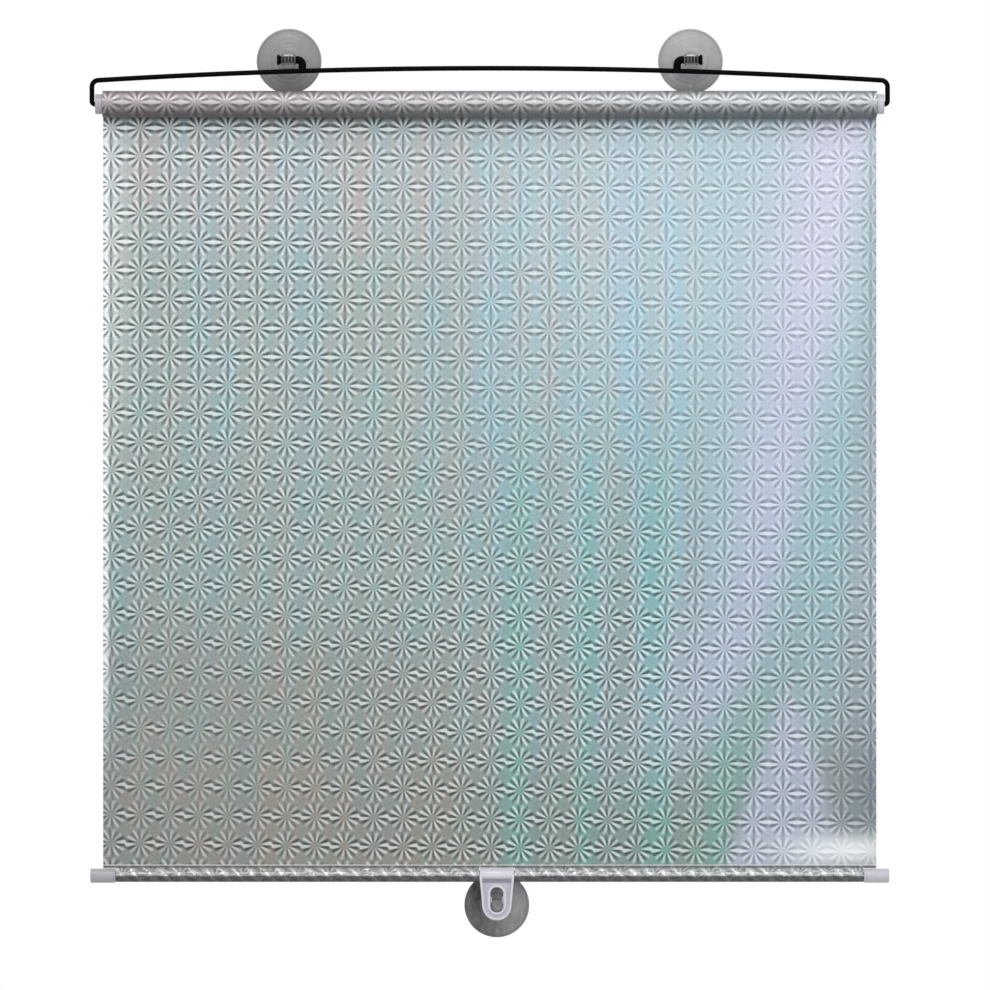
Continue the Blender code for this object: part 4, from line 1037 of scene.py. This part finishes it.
class BLIND_OT_bar(bpy.types.Operator):
    """Make the caps on the bottom bar and finish the bar"""

    bl_idname = "blind.bar"
    bl_label = "Bar and caps"

    def execute(self, context):
        colour = tuple(context.scene.blind_hardware.plastic_colour)
        plastic = moulded_plastic("cap_plastic", colour)
        # The bar is a darker grey than the caps, which also paints the shade in the gaps where it shows
        repaint(moulded_plastic("bar_plastic", linear(128, 126, 134)), "bottom_bar")
        radius, bore, inner, outer, floor = 0.0046, 0.0038, 0.242, 0.2582, 0.2563
        edge = arc(0.0007, 0, math.pi / 2, 8, (radius - 0.0007, outer - 0.0007))[::-1]
        lip = [(radius, inner + 0.0019), (radius - 0.0002, inner + 0.0017), (radius - 0.0002, inner + 0.0014),
               (radius, inner + 0.0012), (radius, inner + 0.0002), (radius - 0.0002, inner)]
        section = [(0, outer), *edge, *lip, (bore, inner), (bore, floor), (0, floor)]
        for side, name in ((-1, "bar_cap_left"), (1, "bar_cap_right")):
            turn = Matrix.Rotation(side * math.pi / 2, 4, "Y")
            place = Matrix.Translation((0, CLIP_AXIS.y, CLIP_AXIS.z))
            made = mesh_object(f"{name.replace('bar_', '')}_moulding", move(spun(section, 72), place @ turn))
            dress(made, "bar", plastic, [name])
        return {"FINISHED"}


class BLIND_OT_clip(bpy.types.Operator):
    """Make the pull clip with its keyhole slot"""

    bl_idname = "blind.clip"
    bl_label = "Pull clip"

    def execute(self, context):
        colour = tuple(context.scene.blind_hardware.clip_colour)
        made = mesh_object("pull_clip", clip_shape(0, 0.0012, 0.0025, 0.005))
        carve(made, "DIFFERENCE", clip_panel())
        barrel = move(rod(0.0048, -0.011, 0.011, 96), Matrix.Rotation(math.pi / 2, 4, "Y"))
        carve(made, "UNION", barrel)
        carve(made, "DIFFERENCE", *clip_cuts())
        bevelled(made, 0.00018)
        made.data.transform(Matrix.Translation(CLIP_AXIS) @ Matrix.Rotation(math.pi / 2, 4, "X"))
        dress(made, "clip", clip_plastic(colour), ["hook_clip"])
        return {"FINISHED"}


CLIP_DROP = 0.0193
CLIP_SLOT_TOP = 0.0115 - 0.0193


def clip_outline(inset, rise, steps=48):
    """Front outline of the clip: sides that lean in to a round tip about the cup's axis."""
    radius, half = 0.0094 - inset, 0.0112 - inset
    lean = math.acos(radius / math.hypot(half, CLIP_DROP)) - math.atan2(CLIP_DROP, half)
    side_x, side_y = radius * math.cos(lean), -CLIP_DROP - radius * math.sin(lean)
    edge = half + (side_x - half) * rise / side_y
    return [(-edge, rise), (edge, rise), *arc(radius, -lean, lean - math.pi, steps, (0, -CLIP_DROP))]


def clip_shape(inset, rise, low, high):
    return prism(clip_outline(inset, rise), low, high)


def slot_outline(radius, steps=24):
    low, high = (0, -CLIP_DROP), (0, CLIP_SLOT_TOP - CLIP_DROP + 0.0156)
    return arc(radius, 0, math.pi, steps, high) + arc(radius, math.pi, TURN, steps, low)


def clip_panel():
    """The sunk face between the clip's raised border and the border of its slot."""
    panel = mesh_object("panel", clip_shape(0.0014, 0.0026, 0.0043, 0.0058))
    carve(panel, "DIFFERENCE", prism(slot_outline(0.0059), 0.0030, 0.0070))
    shape = bmesh.new()
    shape.from_mesh(panel.data)
    bpy.data.objects.remove(panel)
    return shape


def clip_cuts():
    """The slot, its keyhole, the bore for the bar and the mouth that snaps over it."""
    beyond = 0.0058
    top = (0, 0.0078 - CLIP_DROP)
    turn = Matrix.Rotation(math.pi / 2, 4, "Y")
    slot = prism(slot_outline(0.0043), 0.0034, beyond)
    neck = prism(slot_outline(0.0031), 0.0, beyond)
    key = prism(arc(0.0043, 0, TURN, 48, top)[:-1], 0.0, beyond)
    bore = move(rod(0.0038, -0.0224, 0.0224, 96), turn)
    edges = (math.radians(-75), math.radians(5))
    mouth = move(prism([(0, 0), *arc(0.0096, *edges, 12)], -0.0224, 0.0224), turn)
    return slot, neck, key, bore, mouth


# ---- stage


class BLIND_OT_stage(bpy.types.Operator):
    """Make the pale floor, the soft light and the camera"""

    bl_idname = "blind.stage"
    bl_label = "Floor, light and camera"

    def execute(self, context):
        stage = context.scene.blind_stage
        pale_floor(stage.floor_height)
        soft_world(context.scene)
        soft_lamp("key_light", (-0.1, -1.3, 1.2), 1.0, 14)
        soft_lamp("fill_light", (0.3, -2.2, 0.1), 1.4, 6)
        context.scene.view_settings.view_transform = "Standard"
        film_plane = ROLLER_AXIS.y + SHEET_RADIUS
        camera = bpy.data.cameras.new("camera")
        camera.sensor_width = 36
        camera.lens = 36 * stage.distance / (IMAGE_SIDE * METRES_PER_PIXEL)
        made = bpy.data.objects.new("camera", camera)
        context.scene.collection.objects.link(made)
        made.location = (IMAGE_CENTRE[0], film_plane - stage.distance, IMAGE_CENTRE[1])
        made.rotation_euler = (math.pi / 2, 0, 0)
        context.scene.camera = made
        return {"FINISHED"}


def pale_floor(height):
    shape = bmesh.new()
    bmesh.ops.create_grid(shape, x_segments=1, y_segments=1, size=1.2)
    bmesh.ops.translate(shape, verts=shape.verts, vec=(0, 0, height))
    floor = mesh_object("floor", shape)
    net = Net("pale_floor")
    grain = net.noise(net.place(), 60.0, 3.0)
    net.surface(net.mix(grain, (0.84, 0.84, 0.84), (0.88, 0.88, 0.88)), 0.8)
    floor.data.materials.append(net.made)


def soft_world(scene):
    """Even light, and plain white where the camera, a gloss or clear plastic sees it."""
    world = bpy.data.worlds.new("soft_light")
    world.use_nodes = True
    tree = world.node_tree
    lit = tree.nodes["Background"]
    lit.inputs[0].default_value = (1, 1, 1, 1)
    lit.inputs[1].default_value = 0.5
    seen = tree.nodes.new("ShaderNodeBackground")
    seen.inputs[1].default_value = 1
    seen.inputs[0].default_value = (1, 1, 1, 1)
    path = tree.nodes.new("ShaderNodeLightPath")
    shared = tree.nodes.new("ShaderNodeMixShader")
    shown = path.outputs["Is Camera Ray"]
    for ray in ("Is Glossy Ray", "Is Transmission Ray"):
        either = tree.nodes.new("ShaderNodeMath")
        either.operation = "MAXIMUM"
        tree.links.new(shown, either.inputs[0])
        tree.links.new(path.outputs[ray], either.inputs[1])
        shown = either.outputs[0]
    tree.links.new(shown, shared.inputs[0])
    tree.links.new(lit.outputs[0], shared.inputs[1])
    tree.links.new(seen.outputs[0], shared.inputs[2])
    tree.links.new(shared.outputs[0], tree.nodes["World Output"].inputs[0])
    scene.world = world


def soft_lamp(name, place, size, power):
    lamp = bpy.data.lights.new(name, "AREA")
    lamp.size = size
    lamp.energy = power
    made = bpy.data.objects.new(name, lamp)
    bpy.context.scene.collection.objects.link(made)
    made.location = place
    aim = Vector((0, 0, -0.28)) - Vector(place)
    made.rotation_euler = aim.to_track_quat("-Z", "Y").to_euler()


# ---- panel and registration


class BLIND_PT_panel(bpy.types.Panel):
    """Lists the blind's pieces"""

    bl_label = "Roller Blind"
    bl_idname = "BLIND_PT_panel"
    bl_space_type = "VIEW_3D"
    bl_region_type = "UI"
    bl_category = "Roller Blind"

    def draw(self, context):
        for group in SETTINGS:
            box = self.layout.box()
            owner = getattr(context.scene, group)
            for key in owner.bl_rna.properties.keys():
                if key not in ("rna_type", "name"):
                    box.prop(owner, key)
        for operator in PIECES:
            self.layout.operator(operator.bl_idname)


SETTINGS = {
    "blind_film": FilmSettings,
    "blind_cups": CupSettings,
    "blind_hardware": HardwareSettings,
    "blind_stage": StageSettings,
}
PIECES = (
    BLIND_OT_film, BLIND_OT_bail, BLIND_OT_upper_cups, BLIND_OT_lower_cup, BLIND_OT_plugs,
    BLIND_OT_bar, BLIND_OT_clip, BLIND_OT_stage,
)


def register():
    for made in (*SETTINGS.values(), *PIECES, BLIND_PT_panel):
        bpy.utils.register_class(made)
    for group, made in SETTINGS.items():
        setattr(bpy.types.Scene, group, PointerProperty(type=made))


def unregister():
    for group in SETTINGS:
        delattr(bpy.types.Scene, group)
    for made in (BLIND_PT_panel, *reversed(PIECES), *reversed(SETTINGS.values())):
        bpy.utils.unregister_class(made)


def main():
    register()
    for operator in PIECES:
        group, name = operator.bl_idname.split(".")
        getattr(getattr(bpy.ops, group), name)()


if __name__ == "__main__":
    main()
